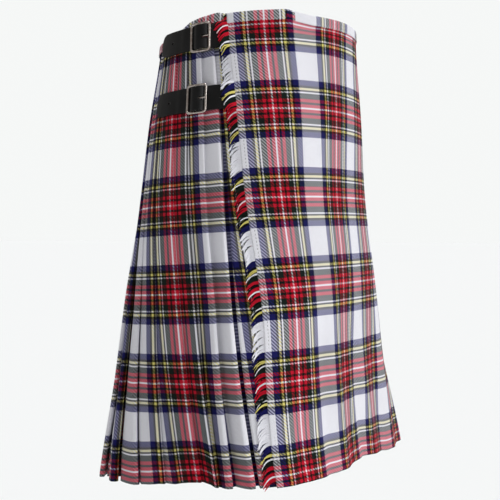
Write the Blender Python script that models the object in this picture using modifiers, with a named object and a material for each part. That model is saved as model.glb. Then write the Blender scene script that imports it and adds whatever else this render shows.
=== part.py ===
"""A man's kilt, held in its worn, hollow shape with no wearer.

Metres, +Z up. The front faces -Y and the wearer's right is -X. The origin is the middle of
the waist, level with the top edge of the front. Every piece is laid out flat first, in
pattern space, and then wrapped on the form:

    x  arc: the way round the form from the front centre, rising towards the wearer's right
    y  lift: how far the cloth stands off the form
    z  minus the drop below the top edge
"""

import functools
import math

import bmesh
import bpy
import numpy as np
from mathutils import Matrix, Vector

CM = 0.01
MM = 0.001

# The form that the cloth hangs on, one row for each level, in centimetres.
# squareness 2 is an ellipse and more is squarer. aside and behind place the oval's middle.
# lean_side and lean_back tip the level: the rise for each centimetre towards +X and +Y.
FORM_COLUMNS = (
    "drop", "half_width", "half_depth", "squareness", "aside", "behind", "lean_side", "lean_back",
)
FORM = (
    (0.0, 15.3, 13.1, 2.10, 0.3, 0.0, 0.007, -0.071),
    (1.7, 15.5, 13.1, 2.12, 0.3, 0.0, 0.007, -0.071),
    (13.0, 17.1, 13.6, 2.40, 0.0, 0.1, 0.008, -0.068),
    (24.4, 19.2, 13.8, 2.58, 0.0, 0.2, 0.005, -0.064),
    (36.0, 21.0, 15.0, 2.70, 0.2, 0.3, 0.000, -0.060),
    (47.7, 22.5, 15.8, 3.00, 0.7, 0.4, -0.010, -0.054),
    (59.1, 24.0, 16.9, 3.50, 1.2, 0.5, -0.021, -0.048),
    (60.7, 24.2, 17.1, 3.55, 1.3, 0.5, -0.022, -0.048),
)
RING_POINTS = 720

# Cloth
LENGTH = 60.7 * CM
CLOTH = 1.2 * MM
TAPE = 1.0 * MM
CLEAR = 0.3 * MM
LEVELS = (0.0, 1.3, 9.0, 17.0, 25.0, 36.0, 48.0, 60.7)

# Aprons: half the width of the front that they cover
APRON_RIGHT = 20.2 * CM
APRON_LEFT = -20.6 * CM
APRON_COLUMNS = 42
UNDER_LIFT = -4.1 * MM
UNDER_LEFT = -18.0 * CM
UNDER_RIGHT = 18.5 * CM

# Knife pleats. Each row gives one folded edge's arc, in centimetres, at four levels.
PLEATS = 24
PLEAT_START = UNDER_RIGHT + CLEAR
PLEAT_END = -19.2 * CM
APRON_LAP = 6.0 * MM
EDGE_LEVELS = (0.0, 22.0, 38.0, 60.7)
FIRST_EDGES = (
    (22.4, 22.9, 23.6, 24.2),
    (24.5, 25.7, 26.6, 27.3),
    (26.6, 28.6, 30.4, 31.3),
    (28.7, 31.5, 33.9, 35.6),
    (30.8, 34.4, 37.6, 40.3),
    (32.8, 37.2, 41.4, 44.8),
)
FOLD_DEPTH = 0.68
LAST_FOLD_DEPTH = 0.4
LAYER_GAP = ((0.0, 1.7), (20.0, 1.7), (38.0, 3.2), (60.7, 4.8))

# The pleats' top edge lies lower than the aprons': (arc in cm, drop in cm)
TOP_DROP = (
    (0.0, 0.0), (21.5, 0.0), (24.0, 0.3), (25.6, 0.6), (27.4, 1.45), (29.2, 1.9), (32.0, 2.0),
)
TOP_FADE = 9.0 * CM

# Binding folded over the top edge
BINDING = 1.1 * CM
BINDING_ROOM = 1.5 * MM
BINDING_EASE = 0.6 * MM
BINDING_COLUMNS = 84

# Fringe on the outer apron's edge
STRANDS = 84
FRINGE_STRIP = 3.0 * MM
STRAND_REACH = 13.5 * MM
STRAND_FALL = 9.0 * MM

# Straps and buckles. The upper ones lie on the binding, whose face is the ground for them.
STRAP_WIDTH = 31.6 * MM
STRAP = 2.0 * MM
STRAP_STEP = 8.0 * MM
STRAP_CLEAR = 0.6 * MM
TAB = 1.0 * MM
TAB_LENGTH = 27.0 * MM
FRAME_WIDTH = 30.0 * MM
FRAME_HEIGHT = 39.5 * MM
FRAME_BAR = 3.0 * MM
FRAME_THICK = 2.2 * MM
FRAME_STAND = 5.3 * MM
PRONG = 0.9 * MM
SLOT = 3.6 * MM
ON_CLOTH = CLOTH / 2
ON_BINDING = CLOTH / 2 + CLEAR + TAPE + BINDING_EASE + 0.5 * MM
FASTENING_COLUMNS = ("name", "buckle_arc", "drop", "tip_arc", "ground")
FASTENINGS = (
    ("right_upper", 23.7 * CM, 2.9 * CM, 31.6 * CM, ON_BINDING),
    ("right_lower", 25.2 * CM, 11.0 * CM, 32.8 * CM, ON_CLOTH),
    ("left", -23.7 * CM, 2.9 * CM, -31.6 * CM, ON_BINDING),
)

TARTAN = ("tartan_wool", (0.62, 0.58, 0.62), 0.9, 0.0)
BINDING_WOOL = ("binding_wool", (0.60, 0.56, 0.60), 0.9, 0.0)
FRINGE_WOOL = ("fringe_wool", (0.66, 0.60, 0.64), 0.95, 0.0)
LEATHER = ("black_leather", (0.02, 0.02, 0.022), 0.55, 0.0)
STEEL = ("nickel_steel", (0.62, 0.61, 0.59), 0.28, 1.0)


def smooth(xs, ys, x):
    """A curve through the table's points, with slopes taken from their neighbours."""
    xs = np.asarray(xs, float)
    ys = np.asarray(ys, float)
    slopes = np.gradient(ys, xs)
    i = np.clip(np.searchsorted(xs, x) - 1, 0, len(xs) - 2)
    span = xs[i + 1] - xs[i]
    t = np.clip((x - xs[i]) / span, 0.0, 1.0)
    start = ys[i] * (1 + 2 * t) * (1 - t) ** 2 + slopes[i] * span * t * (1 - t) ** 2
    end = ys[i + 1] * t * t * (3 - 2 * t) + slopes[i + 1] * span * t * t * (t - 1)
    return start + end


@functools.lru_cache(maxsize=None)
def ring(level):
    """The form at one level, in cm: arcs, points and outward normals all round, in metres."""
    table = np.array(FORM)
    row = {
        name: float(smooth(table[:, 0], table[:, column], level))
        for column, name in enumerate(FORM_COLUMNS)
    }
    turn = np.linspace(0.0, 2 * math.pi, RING_POINTS + 1)
    side, front = np.abs(np.sin(turn)), np.abs(np.cos(turn))
    power = row["squareness"]
    radius = (side**power + front**power) ** (-1 / power)
    x = row["aside"] - row["half_width"] * radius * np.sin(turn)
    y = row["behind"] - row["half_depth"] * radius * np.cos(turn)
    z = -level + row["lean_side"] * x + row["lean_back"] * y
    points = np.stack([x, y, z], axis=1) * CM
    steps = np.linalg.norm(np.diff(points, axis=0), axis=1)
    arcs = np.concatenate([[0.0], np.cumsum(steps)])
    along = np.gradient(points, axis=0)
    along[0] = along[-1] = points[1] - points[-2]
    normals = np.stack([-along[:, 1], along[:, 0], np.zeros(len(turn))], axis=1)
    normals /= np.linalg.norm(normals, axis=1)[:, None]
    return arcs, points, normals


def girth(drop):
    return float(np.interp(drop / CM, LEVELS, [ring(level)[0][-1] for level in LEVELS]))


def on_ring(level, arc, lift):
    arcs, points, normals = ring(level)
    arc = arc % arcs[-1]
    place = [
        np.interp(arc, arcs, points[:, k]) + lift * np.interp(arc, arcs, normals[:, k])
        for k in range(3)
    ]
    return Vector(place)


def on_form(arc, lift, drop):
    """The place in space of a point of the flat pattern, straight between two levels."""
    above = int(np.clip(np.searchsorted(LEVELS, drop / CM) - 1, 0, len(LEVELS) - 2))
    share = (drop / CM - LEVELS[above]) / (LEVELS[above + 1] - LEVELS[above])
    high = on_ring(LEVELS[above], arc, lift)
    low = on_ring(LEVELS[above + 1], arc, lift)
    return high + (low - high) * share


def wrap(mesh):
    """Bends a mesh from pattern space onto the form."""
    for vertex in mesh.vertices:
        arc, lift, height = vertex.co
        vertex.co = on_form(arc, lift, -height)
    mesh.update()


def material(finish):
    name, colour, roughness, metallic = finish
    made = bpy.data.materials.get(name)
    if made is None:
        made = bpy.data.materials.new(name)
        made.use_nodes = True
        shader = made.node_tree.nodes["Principled BSDF"]
        shader.inputs["Base Color"].default_value = (*colour, 1.0)
        shader.inputs["Roughness"].default_value = roughness
        shader.inputs["Metallic"].default_value = metallic
        made.diffuse_color = (*colour, 1.0)
    return made


def add_object(name, data, finish):
    obj = bpy.data.objects.new(name, data)
    data.materials.append(material(finish))
    KILT.objects.link(obj)
    return obj


def lattice(rows, holes=()):
    """An open surface through rows of points, less the faces named as (row, column)."""
    mesh = bpy.data.meshes.new("lattice")
    shape = bmesh.new()
    grid = [[shape.verts.new(point) for point in row] for row in rows]
    for r in range(len(grid) - 1):
        for c in range(len(grid[0]) - 1):
            if (r, c) not in holes:
                corners = (grid[r][c], grid[r][c + 1], grid[r + 1][c + 1], grid[r + 1][c])
                shape.faces.new(corners)
    shape.to_mesh(mesh)
    shape.free()
    return mesh


def sheet(name, rows, thickness, finish, holes=()):
    """A wall of one thickness on both sides of a surface drawn in pattern space."""
    mesh = lattice(rows, holes)
    wrap(mesh)
    mesh.shade_smooth()
    obj = add_object(name, mesh, finish)
    wall = obj.modifiers.new("wall", "SOLIDIFY")
    wall.thickness = thickness
    wall.offset = 0.0
    return obj


def top_drop(arc):
    """How far the top edge lies below the front's, at an arc on either side of the front."""
    whole = girth(0.0)
    nearest = min(arc % whole, whole - arc % whole)
    table = np.array(TOP_DROP) * CM
    return float(np.interp(nearest, table[:, 0], table[:, 1]))


def lowered(arc, level):
    """The drop of a level line, which follows the top edge near it and is even lower down."""
    return level + top_drop(arc) * max(0.0, 1.0 - level / TOP_FADE)


def apron(name, right, left, lift):
    arcs = np.linspace(right, left, APRON_COLUMNS)
    rows = [[(arc, lift, -level * CM) for arc in arcs] for level in LEVELS]
    return sheet(name, rows, CLOTH, TARTAN)


def fold_edges(drop):
    """The arcs of the folded edges at one level, from the right hip round to the left."""
    first = [np.interp(drop / CM, EDGE_LEVELS, row) * CM for row in FIRST_EDGES]
    last = girth(drop) - first[0]
    rest = np.linspace(first[-1], last, PLEATS - len(first) + 1)[1:]
    return first + list(rest)


def pleat_profile(drop):
    """One level's path through all the pleats, as (arc, lift).

    Each pleat shows a face that slopes in from its folded edge, runs on under the next
    edge, turns back and comes out again as that next edge.
    """
    settled = girth(drop) + APRON_LEFT - APRON_LAP
    edges = fold_edges(drop) + [max(settled, fold_edges(drop)[-1] + APRON_LAP)]
    gap = np.interp(drop / CM, *zip(*LAYER_GAP)) * MM
    path = [(arc, UNDER_LIFT) for arc in np.linspace(PLEAT_START, APRON_RIGHT, 3)]
    path.append(((APRON_RIGHT + edges[0]) / 2, min(UNDER_LIFT, UNDER_LIFT / 2 - gap)))
    falls = [2 * gap] * (PLEATS - 1) + [-UNDER_LIFT]
    depths = [FOLD_DEPTH] * (PLEATS - 1) + [LAST_FOLD_DEPTH]
    for edge, following, fall, share in zip(edges[:-1], edges[1:], falls, depths):
        reveal = following - edge
        depth = share * reveal
        slope = fall / reveal
        path += [
            (edge, -2 * gap),
            (edge + depth, -2 * gap - slope * depth),
            (edge + depth + gap / 2, -1.5 * gap - slope * depth),
            (edge + depth, -gap - slope * depth),
            (edge, -gap),
            (edge - gap / 2, -gap / 2),
            (edge, 0.0),
            (edge + reveal / 2, -0.45 * fall),
        ]
    end = girth(drop) + PLEAT_END
    path += [(arc, UNDER_LIFT) for arc in np.linspace(edges[-1], end, 4)]
    return path


def pleats():
    rows = []
    for level in LEVELS:
        profile = pleat_profile(level * CM)
        rows.append([(arc, lift, -lowered(arc, level * CM)) for arc, lift in profile])
    return sheet("pleats", rows, CLOTH, TARTAN)


def binding(name, arcs, outer_lift, inner_lift, spread=1.0):
    """A tape folded over the top edge, from the outer face to the inner one.

    spread is how much farther round the form its lower edges reach than its fold does.
    """
    rows = []
    top = BINDING_ROOM + TAPE / 2
    for lift, height in (
        (outer_lift, -BINDING), (outer_lift, top), (inner_lift, top), (inner_lift, -BINDING),
    ):
        wider = spread if height < 0 else 1.0
        rows.append([(arc * wider, lift(arc), height - top_drop(arc)) for arc in arcs])
    return sheet(name, rows, TAPE, BINDING_WOOL)


def bindings():
    off = CLOTH / 2 + CLEAR + TAPE / 2
    front = np.linspace(APRON_RIGHT, APRON_LEFT, APRON_COLUMNS)
    binding("binding_front", front, lambda arc: off, lambda arc: -off)
    whole = girth(0.0)
    deepest = -2 * LAYER_GAP[0][1] * MM * (1 + FOLD_DEPTH)
    first = FIRST_EDGES[0][0] * CM
    settled = whole + APRON_LEFT - APRON_LAP
    begins = (APRON_RIGHT + 5 * MM, first - 4 * MM)
    outer_turns = (*begins, whole - first + 2 * MM, settled + 3 * MM)
    inner_turns = (*begins, settled - 2 * MM, settled + 8 * MM)

    def outer(arc):
        lifts = (UNDER_LIFT, BINDING_EASE, BINDING_EASE, UNDER_LIFT)
        return float(np.interp(arc, outer_turns, lifts)) + off

    def inner(arc):
        lifts = (UNDER_LIFT, deepest, deepest, UNDER_LIFT)
        return float(np.interp(arc, inner_turns, lifts)) - off

    back = np.linspace(UNDER_LEFT, whole + PLEAT_END, BINDING_COLUMNS)
    arcs = np.union1d(back, outer_turns + inner_turns)
    binding("binding_back", arcs, outer, inner, girth(BINDING) / whole)


def over_straps(drop):
    """1 where a strand lies over a strap, 0 clear of it."""
    reach = STRAP_WIDTH / 2 + STRAND_FALL + 3 * MM
    nearest = min(abs(drop - row[2]) for row in FASTENINGS)
    return float(np.clip((reach + 4 * MM - nearest) / (4 * MM), 0.0, 1.0))


def fringe():
    """A narrow strip beside the apron's edge, with every second step drawn out as a strand."""
    mesh = bpy.data.meshes.new("fringe")
    shape = bmesh.new()
    inner, outer = APRON_RIGHT + CLEAR, APRON_RIGHT + CLEAR + FRINGE_STRIP
    half = CLOTH / 2
    corners = ((inner, half), (outer, half), (outer, -half), (inner, -half))
    drops = np.linspace(4 * MM, LENGTH - STRAND_FALL - 3 * MM, 2 * STRANDS)
    sections = [[shape.verts.new((arc, lift, -d)) for arc, lift in corners] for d in drops]
    roots = []
    for step, (above, below) in enumerate(zip(sections[:-1], sections[1:])):
        for c in range(4):
            n = (c + 1) % 4
            face = shape.faces.new((above[c], above[n], below[n], below[c]))
            if c == 1 and step % 2 == 0:
                roots.append(face)
    shape.faces.new(reversed(sections[0]))
    shape.faces.new(sections[-1])
    for stage in (1, 2):
        drawn = bmesh.ops.extrude_discrete_faces(shape, faces=roots)["faces"]
        for strand, face in enumerate(drawn):
            sway = 0.07 * math.sin(strand * 2.4) * STRAND_FALL
            raised = over_straps(drops[min(2 * strand, len(drops) - 1)]) * (2.4, 2.2)[stage - 1]
            fall = STRAND_FALL * (0.4, 0.6)[stage - 1] + sway
            move = Vector((STRAND_REACH / 2, raised * MM, -fall))
            middle = face.calc_center_median()
            for vertex in face.verts:
                vertex.co = middle + (vertex.co - middle) * 0.85 + move
        roots = drawn
    bmesh.ops.recalc_face_normals(shape, faces=shape.faces)
    shape.to_mesh(mesh)
    shape.free()
    wrap(mesh)
    return add_object("fringe", mesh, FRINGE_WOOL)


def fastening_axes(way, middle, drop):
    """Unit vectors at a buckle: along the strap to its tip, straight across it, and outward."""
    reach = STRAP_WIDTH / 2
    along = on_form(middle + way * reach, 0.0, drop) - on_form(middle - way * reach, 0.0, drop)
    along.normalize()
    rise = on_form(middle, 0.0, drop - reach) - on_form(middle, 0.0, drop + reach)
    outward = way * rise.cross(along).normalized()
    return along, outward.cross(along), outward


def square_across(way, middle, drop):
    """The arc to add for each step up the pattern, so that a strap's edge is square to it."""
    reach = STRAP_WIDTH / 2
    along = fastening_axes(way, middle, drop)[0]
    rise = on_form(middle, 0.0, drop - reach) - on_form(middle, 0.0, drop + reach)
    return -way * rise.dot(along) / (2 * reach)


def refined(path):
    """The same path with no step longer than STRAP_STEP, so that it follows the round form."""
    fine = [path[0]]
    for (arc, lift), (next_arc, next_lift) in zip(path[:-1], path[1:]):
        steps = math.ceil(abs(next_arc - arc) / STRAP_STEP)
        for step in range(1, steps + 1):
            share = step / steps
            fine.append((arc + (next_arc - arc) * share, lift + (next_lift - lift) * share))
    return fine


def strap(name, way, middle, drop, tip, ground):
    """A strap from under the apron, through its buckle, to a clipped tip.

    It passes under the frame's near bar, over the middle bar and under the far bar.
    """
    root = APRON_RIGHT - 12 * MM if way > 0 else -APRON_LEFT - 14 * MM
    first_edge = fold_edges(drop)[0]
    centre, end = abs(middle), abs(tip)
    frame = ground + FRAME_STAND
    below = frame - FRAME_THICK / 2 - CLEAR - STRAP / 2
    hump = frame + 4.6 * MM
    on_tab = ground + 2 * CLEAR + TAB + STRAP / 2
    resting = ground + STRAP_CLEAR + STRAP / 2
    low = ON_CLOTH + STRAP_CLEAR + STRAP / 2
    tucked = -CLOTH / 2 - CLEAR - 0.3 * MM - STRAP / 2
    path = (
        (root, tucked), (root + 16 * MM, tucked), (root + 19 * MM, tucked + 0.6 * MM),
        (first_edge - 5 * MM, low), (centre - 16.0 * MM, low + 0.3 * MM),
        (centre - 13.5 * MM, low + 0.8 * MM), (centre - 11.0 * MM, below - 0.1 * MM),
        (centre - 8.9 * MM, below + 2.9 * MM), (centre - 6.4 * MM, hump - 1.6 * MM),
        (centre - 4.2 * MM, hump), (centre + 2.4 * MM, hump),
        (centre + 6.0 * MM, hump - 2.2 * MM), (centre + 9.4 * MM, below + 0.6 * MM),
        (centre + 13.5 * MM, below - 0.1 * MM), (centre + 18.0 * MM, on_tab),
        (centre + TAB_LENGTH, on_tab), (centre + TAB_LENGTH + 7 * MM, resting),
        (end - 8 * MM, resting), (end, resting),
    )
    path = refined(path)
    half = STRAP_WIDTH / 2
    skew = square_across(way, middle, drop)
    rows = []
    for arc, lift in path:
        narrow = 0.62 if arc == end else 1.0
        across = (-half * narrow, -SLOT / 2, SLOT / 2, half * narrow)
        rows.append([(way * arc + skew * z, lift, -drop + z) for z in across])
    slot = [
        (row, 1) for row, (arc, _) in enumerate(path)
        if centre - 11.1 * MM < arc < centre - 4.3 * MM
    ]
    return sheet("strap_" + name, rows, STRAP, LEATHER, slot)


def tab(name, way, middle, drop, ground):
    """The leather tab that holds a buckle: sewn flat behind it and looped round its bar."""
    centre = abs(middle)
    frame = ground + FRAME_STAND
    flat = ground + CLEAR + TAB / 2
    bar = FRAME_THICK / 2 + CLEAR + TAB / 2 + 0.05 * MM
    side = FRAME_BAR / 2 + CLEAR + TAB / 2 + 0.15 * MM
    path = (
        (centre + TAB_LENGTH - 1 * MM, flat), (centre + 15 * MM, flat),
        (centre + 5 * MM, flat + 0.1 * MM), (centre + 1 * MM, frame - bar),
        (centre - FRAME_BAR / 2, frame - bar), (centre - side, frame - bar * 0.45),
        (centre - side, frame + bar * 0.45), (centre - FRAME_BAR / 2, frame + bar),
        (centre + FRAME_BAR / 2, frame + bar), (centre + side + 1 * MM, frame + bar * 0.35),
    )
    half = STRAP_WIDTH / 2 - 1 * MM
    across = (-half, -SLOT / 2, SLOT / 2, half)
    skew = square_across(way, middle, drop)
    rows = [[(way * arc + skew * z, lift, -drop + z) for z in across] for arc, lift in path]
    slot = [(row, 1) for row in range(2, len(path) - 1)]
    return sheet("tab_" + name, rows, TAB, LEATHER, slot)


def buckle_place(way, middle, drop, ground):
    """The buckle's own axes: x along the strap towards its tip, z away from the cloth."""
    turned = Matrix(fastening_axes(way, middle, drop)).transposed().to_4x4()
    return Matrix.Translation(on_form(middle, ground + FRAME_STAND, drop)) @ turned


def rounded_rectangle(curve, x, width, height, corner, steps=3):
    spline = curve.splines.new("POLY")
    corners = ((1, 1), (-1, 1), (-1, -1), (1, -1))
    points = []
    for quarter, (sx, sy) in enumerate(corners):
        cx, cy = x + sx * (width / 2 - corner), sy * (height / 2 - corner)
        for step in range(steps + 1):
            turn = math.pi / 2 * (quarter + step / steps)
            points.append((cx + corner * math.cos(turn), cy + corner * math.sin(turn)))
    spline.points.add(len(points) - 1)
    for point, (px, py) in zip(spline.points, points):
        point.co = (px, py, 0.0, 1.0)
    spline.use_cyclic_u = True


def buckle_frame(name, place):
    curve = bpy.data.curves.new("buckle_frame_" + name, "CURVE")
    curve.dimensions = "2D"
    curve.fill_mode = "BOTH"
    chamfer = 0.35 * MM
    curve.extrude = FRAME_THICK / 2 - chamfer
    curve.bevel_depth = chamfer
    curve.bevel_resolution = 0
    window = (FRAME_WIDTH - 3 * FRAME_BAR) / 2
    offset = (window + FRAME_BAR) / 2
    slim = 2 * chamfer
    rounded_rectangle(curve, 0.0, FRAME_WIDTH - slim, FRAME_HEIGHT - slim, 4 * MM)
    for side in (-1, 1):
        height = FRAME_HEIGHT - 2 * FRAME_BAR
        rounded_rectangle(curve, side * offset, window + slim, height + slim, 1.6 * MM)
    obj = add_object("buckle_frame_" + name, curve, STEEL)
    obj.matrix_world = place
    return obj


def prong(name, place):
    """A wire hooked round the middle bar, whose tip lies on the near bar."""
    curve = bpy.data.curves.new("prong_" + name, "CURVE")
    curve.dimensions = "3D"
    curve.bevel_depth = PRONG
    curve.bevel_resolution = 1
    curve.use_fill_caps = True
    out = FRAME_THICK / 2 + CLEAR + PRONG
    back = FRAME_BAR / 2 + CLEAR + PRONG
    near_bar = -(FRAME_WIDTH - FRAME_BAR) / 2
    route = (
        (-0.6 * MM, -out), (back * 0.75, -out * 0.9), (back, 0.0), (back * 0.7, out * 0.9),
        (-0.5 * MM, out), (near_bar * 0.6, out + 0.1 * MM), (near_bar - 0.8 * MM, out),
    )
    spline = curve.splines.new("POLY")
    spline.points.add(len(route) - 1)
    for point, (along, away) in zip(spline.points, route):
        point.co = (along, 0.0, away, 1.0)
    obj = add_object("prong_" + name, curve, STEEL)
    obj.matrix_world = place
    return obj


def fastening(name, middle, drop, tip, ground):
    way = 1 if middle > 0 else -1
    strap(name, way, middle, drop, tip, ground)
    tab(name, way, middle, drop, ground)
    place = buckle_place(way, middle, drop, ground)
    buckle_frame(name, place)
    prong(name, place)


for old in list(bpy.data.objects):
    bpy.data.objects.remove(old, do_unlink=True)
KILT = bpy.data.collections.new("kilt")
bpy.context.scene.collection.children.link(KILT)

apron("outer_apron", APRON_RIGHT, APRON_LEFT, 0.0)
apron("under_apron", UNDER_RIGHT, UNDER_LEFT, UNDER_LIFT)
pleats()
bindings()
fringe()
for fastening_row in FASTENINGS:
    fastening(*fastening_row)
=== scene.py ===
# %% [markdown]
# # A kilt, dressed cell by cell
#
# The imported model already holds the kilt's true shape: aprons, knife pleats, binding, fringe,
# straps and buckles. This lesson gives it its looks. Each step says what the piece is on the
# real garment, how it could be made in Blender, and why it is made the way it is here.
#
# The first cell loads that model as a fixed frame. Nothing in it is moved.

# %% Load the imported kilt
import math

import bmesh
import bpy
import numpy as np
from mathutils import Matrix, Vector


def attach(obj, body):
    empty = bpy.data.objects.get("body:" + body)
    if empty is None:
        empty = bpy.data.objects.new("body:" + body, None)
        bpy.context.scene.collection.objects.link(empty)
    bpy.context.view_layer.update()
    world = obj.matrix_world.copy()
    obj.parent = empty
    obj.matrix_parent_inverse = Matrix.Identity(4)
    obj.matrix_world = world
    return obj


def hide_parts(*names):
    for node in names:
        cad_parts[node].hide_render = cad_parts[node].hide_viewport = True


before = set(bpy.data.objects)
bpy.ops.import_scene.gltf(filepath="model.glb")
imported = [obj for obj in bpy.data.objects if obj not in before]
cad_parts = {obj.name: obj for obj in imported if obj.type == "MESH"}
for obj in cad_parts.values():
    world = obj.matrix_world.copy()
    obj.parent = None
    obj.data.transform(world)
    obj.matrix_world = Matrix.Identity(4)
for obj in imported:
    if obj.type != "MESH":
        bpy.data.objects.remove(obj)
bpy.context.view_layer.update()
scene = bpy.context.scene
CM, MM = 0.01, 0.001
print("nodes:", ", ".join(sorted(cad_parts)))

# %% [markdown]
# ## Camera, floor and light
#
# The camera stands level with the hips, a step and a half away, and looks at the wearer's
# right hip, so that the flat apron shows on one side and the pleats on the other. A camera can
# be aimed with a constraint. Here its axes are worked out from three angles, because then each
# angle can be read and changed.

# %% Aim the camera
CAMERA_AT = Vector((-1.3929, -0.6569, -0.278))
YAW, PITCH, ROLL = (math.radians(a) for a in (0.415, -1.15, 0.33))
LENS_MM, NEAREST = 77.4144, 0.05

flat = Vector((-CAMERA_AT.x, -CAMERA_AT.y, 0.0)).normalized()
flat.rotate(Matrix.Rotation(YAW, 3, "Z"))
forward = Vector((flat.x * math.cos(PITCH), flat.y * math.cos(PITCH), math.sin(PITCH)))
right = Vector((forward.y, -forward.x, 0.0)).normalized()
up = right.cross(forward)
rolled_right = math.cos(ROLL) * right + math.sin(ROLL) * up
rolled_up = math.cos(ROLL) * up - math.sin(ROLL) * right

camera = bpy.data.objects.new("camera", bpy.data.cameras.new("camera"))
camera.data.lens = LENS_MM
camera.data.clip_start = NEAREST
turned = Matrix((rolled_right, rolled_up, -forward)).transposed().to_4x4()
camera.matrix_world = Matrix.Translation(CAMERA_AT) @ turned
scene.collection.objects.link(camera)
scene.camera = camera
print("camera", round(LENS_MM, 1), "mm, aims", [round(v, 3) for v in forward])

# %% [markdown]
# The floor is a wide pale disc at foot level, a metre below the waist. Its paint has no gloss,
# so it looks the same from the front and from behind, and it ends in the sky without a line.
#
# Area lamps could light it, but they leave pools on a wide floor, so two soft suns are used.
# The window is on the apron's side and makes the front brighter than the pleats. The ceiling
# lights the floor. The sky is seen nearly white but gives less light than that, and warmer, so
# that folds keep their shade.

# %% Lay the floor
FLOOR_DROP, FLOOR_RADIUS = 1.02, 60.0


def new_material(name, settings=()):
    """A material with some sockets of its shader set. Returns it, its tree and its shader."""
    made = bpy.data.materials.new(name)
    made.use_nodes = True
    shader = made.node_tree.nodes["Principled BSDF"]
    for socket, value in settings:
        shader.inputs[socket].default_value = value
    return made, made.node_tree, shader


def new_object(name, mesh):
    made = bpy.data.objects.new(name, mesh)
    scene.collection.objects.link(made)
    return made


def mesh_of(shape, name):
    """Turns a finished bmesh into a mesh."""
    mesh = bpy.data.meshes.new(name)
    shape.to_mesh(mesh)
    shape.free()
    return mesh


disc = bmesh.new()
bmesh.ops.create_circle(disc, cap_ends=True, segments=96, radius=FLOOR_RADIUS)
floor_mesh = mesh_of(disc, "floor")
floor_mesh.transform(Matrix.Translation((0, 0, -FLOOR_DROP)))
PALE_PAINT = (
    ("Base Color", (0.877, 0.896, 0.906, 1)), ("Roughness", 0.9), ("Specular IOR Level", 0.0),
)
floor_mesh.materials.append(new_material("pale_floor", PALE_PAINT)[0])
new_object("floor", floor_mesh)
print("floor", FLOOR_DROP, "m below the waist")

# %% Light the studio
# strength, then tint: as the camera sees the sky, and as the kilt is lit by it
SKY_SEEN, SKY_GIVEN = (0.933, (0.985, 1.0, 0.992)), (0.3, (1.0, 0.97, 0.93))
LAMPS = (
    # name, turn from the front towards the wearer's right, height, strength, softness: degrees
    ("window", -4.0, 14.0, 2.2, 50.0),
    ("ceiling", 0.0, 90.0, 1.79, 20.0),
)
sky = bpy.data.worlds.new("studio")
sky.use_nodes = True
links, sky_nodes = sky.node_tree.links, sky.node_tree.nodes
seen, given_light = sky_nodes["Background"], sky_nodes.new("ShaderNodeBackground")
for background, (strength, tint) in ((seen, SKY_SEEN), (given_light, SKY_GIVEN)):
    background.inputs["Color"].default_value = (*tint, 1.0)
    background.inputs["Strength"].default_value = strength
ray, choice = sky_nodes.new("ShaderNodeLightPath"), sky_nodes.new("ShaderNodeMixShader")
links.new(ray.outputs["Is Camera Ray"], choice.inputs[0])
links.new(given_light.outputs[0], choice.inputs[1])
links.new(seen.outputs[0], choice.inputs[2])
links.new(choice.outputs[0], sky_nodes["World Output"].inputs[0])
scene.world = sky
scene.view_settings.view_transform = "Standard"
for name, turn, height, strength, softness in LAMPS:
    turn, height = math.radians(turn), math.radians(height)
    lamp = new_object(name, bpy.data.lights.new(name, "SUN"))
    lamp.data.energy = strength
    lamp.data.angle = math.radians(softness)
    level_part = math.cos(height)
    towards = Vector((-math.sin(turn) * level_part, -math.cos(turn) * level_part, math.sin(height)))
    lamp.rotation_euler = towards.to_track_quat("Z", "Y").to_euler()
print("lamps:", ", ".join(row[0] for row in LAMPS))

# %% [markdown]
# ## The form the cloth hangs on
#
# A kilt is sewn flat and takes its shape from the wearer. So each piece here is drawn flat, in
# pattern space, and then wrapped on a form:
#
# - x is the arc, the way round from the middle of the front towards the wearer's right
# - y is the lift off the form
# - z is minus the drop below the top edge
#
# The form is a stack of rounded boxes. Each row of the table is one level, in centimetres.

# %% The form's table
FORM_COLUMNS = (
    "drop", "half_width", "half_depth", "squareness", "aside", "behind", "lean_side", "lean_back",
)
FORM = np.array((
    (0.0, 15.3, 13.1, 2.10, 0.3, 0.0, 0.007, -0.071),
    (1.7, 15.5, 13.1, 2.12, 0.3, 0.0, 0.007, -0.071),
    (13.0, 17.1, 13.6, 2.40, 0.0, 0.1, 0.008, -0.068),
    (24.4, 19.2, 13.8, 2.58, 0.0, 0.2, 0.005, -0.064),
    (36.0, 21.0, 15.0, 2.70, 0.2, 0.3, 0.000, -0.060),
    (47.7, 22.5, 15.8, 3.00, 0.7, 0.4, -0.010, -0.054),
    (59.1, 24.0, 16.9, 3.50, 1.2, 0.5, -0.021, -0.048),
    (60.7, 24.2, 17.1, 3.55, 1.3, 0.5, -0.022, -0.048),
))
LENGTH, RING_POINTS = 60.7 * CM, 721


def smooth(xs, ys, x):
    """A curve through the table's points, with slopes taken from their neighbours."""
    slopes = np.gradient(ys, xs)
    i = np.clip(np.searchsorted(xs, x) - 1, 0, len(xs) - 2)
    span = xs[i + 1] - xs[i]
    t = np.clip((x - xs[i]) / span, 0.0, 1.0)
    start = ys[i] * (1 + 2 * t) * (1 - t) ** 2 + slopes[i] * span * t * (1 - t) ** 2
    end = ys[i + 1] * t * t * (3 - 2 * t) + slopes[i + 1] * span * t * t * (t - 1)
    return start + end


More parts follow.
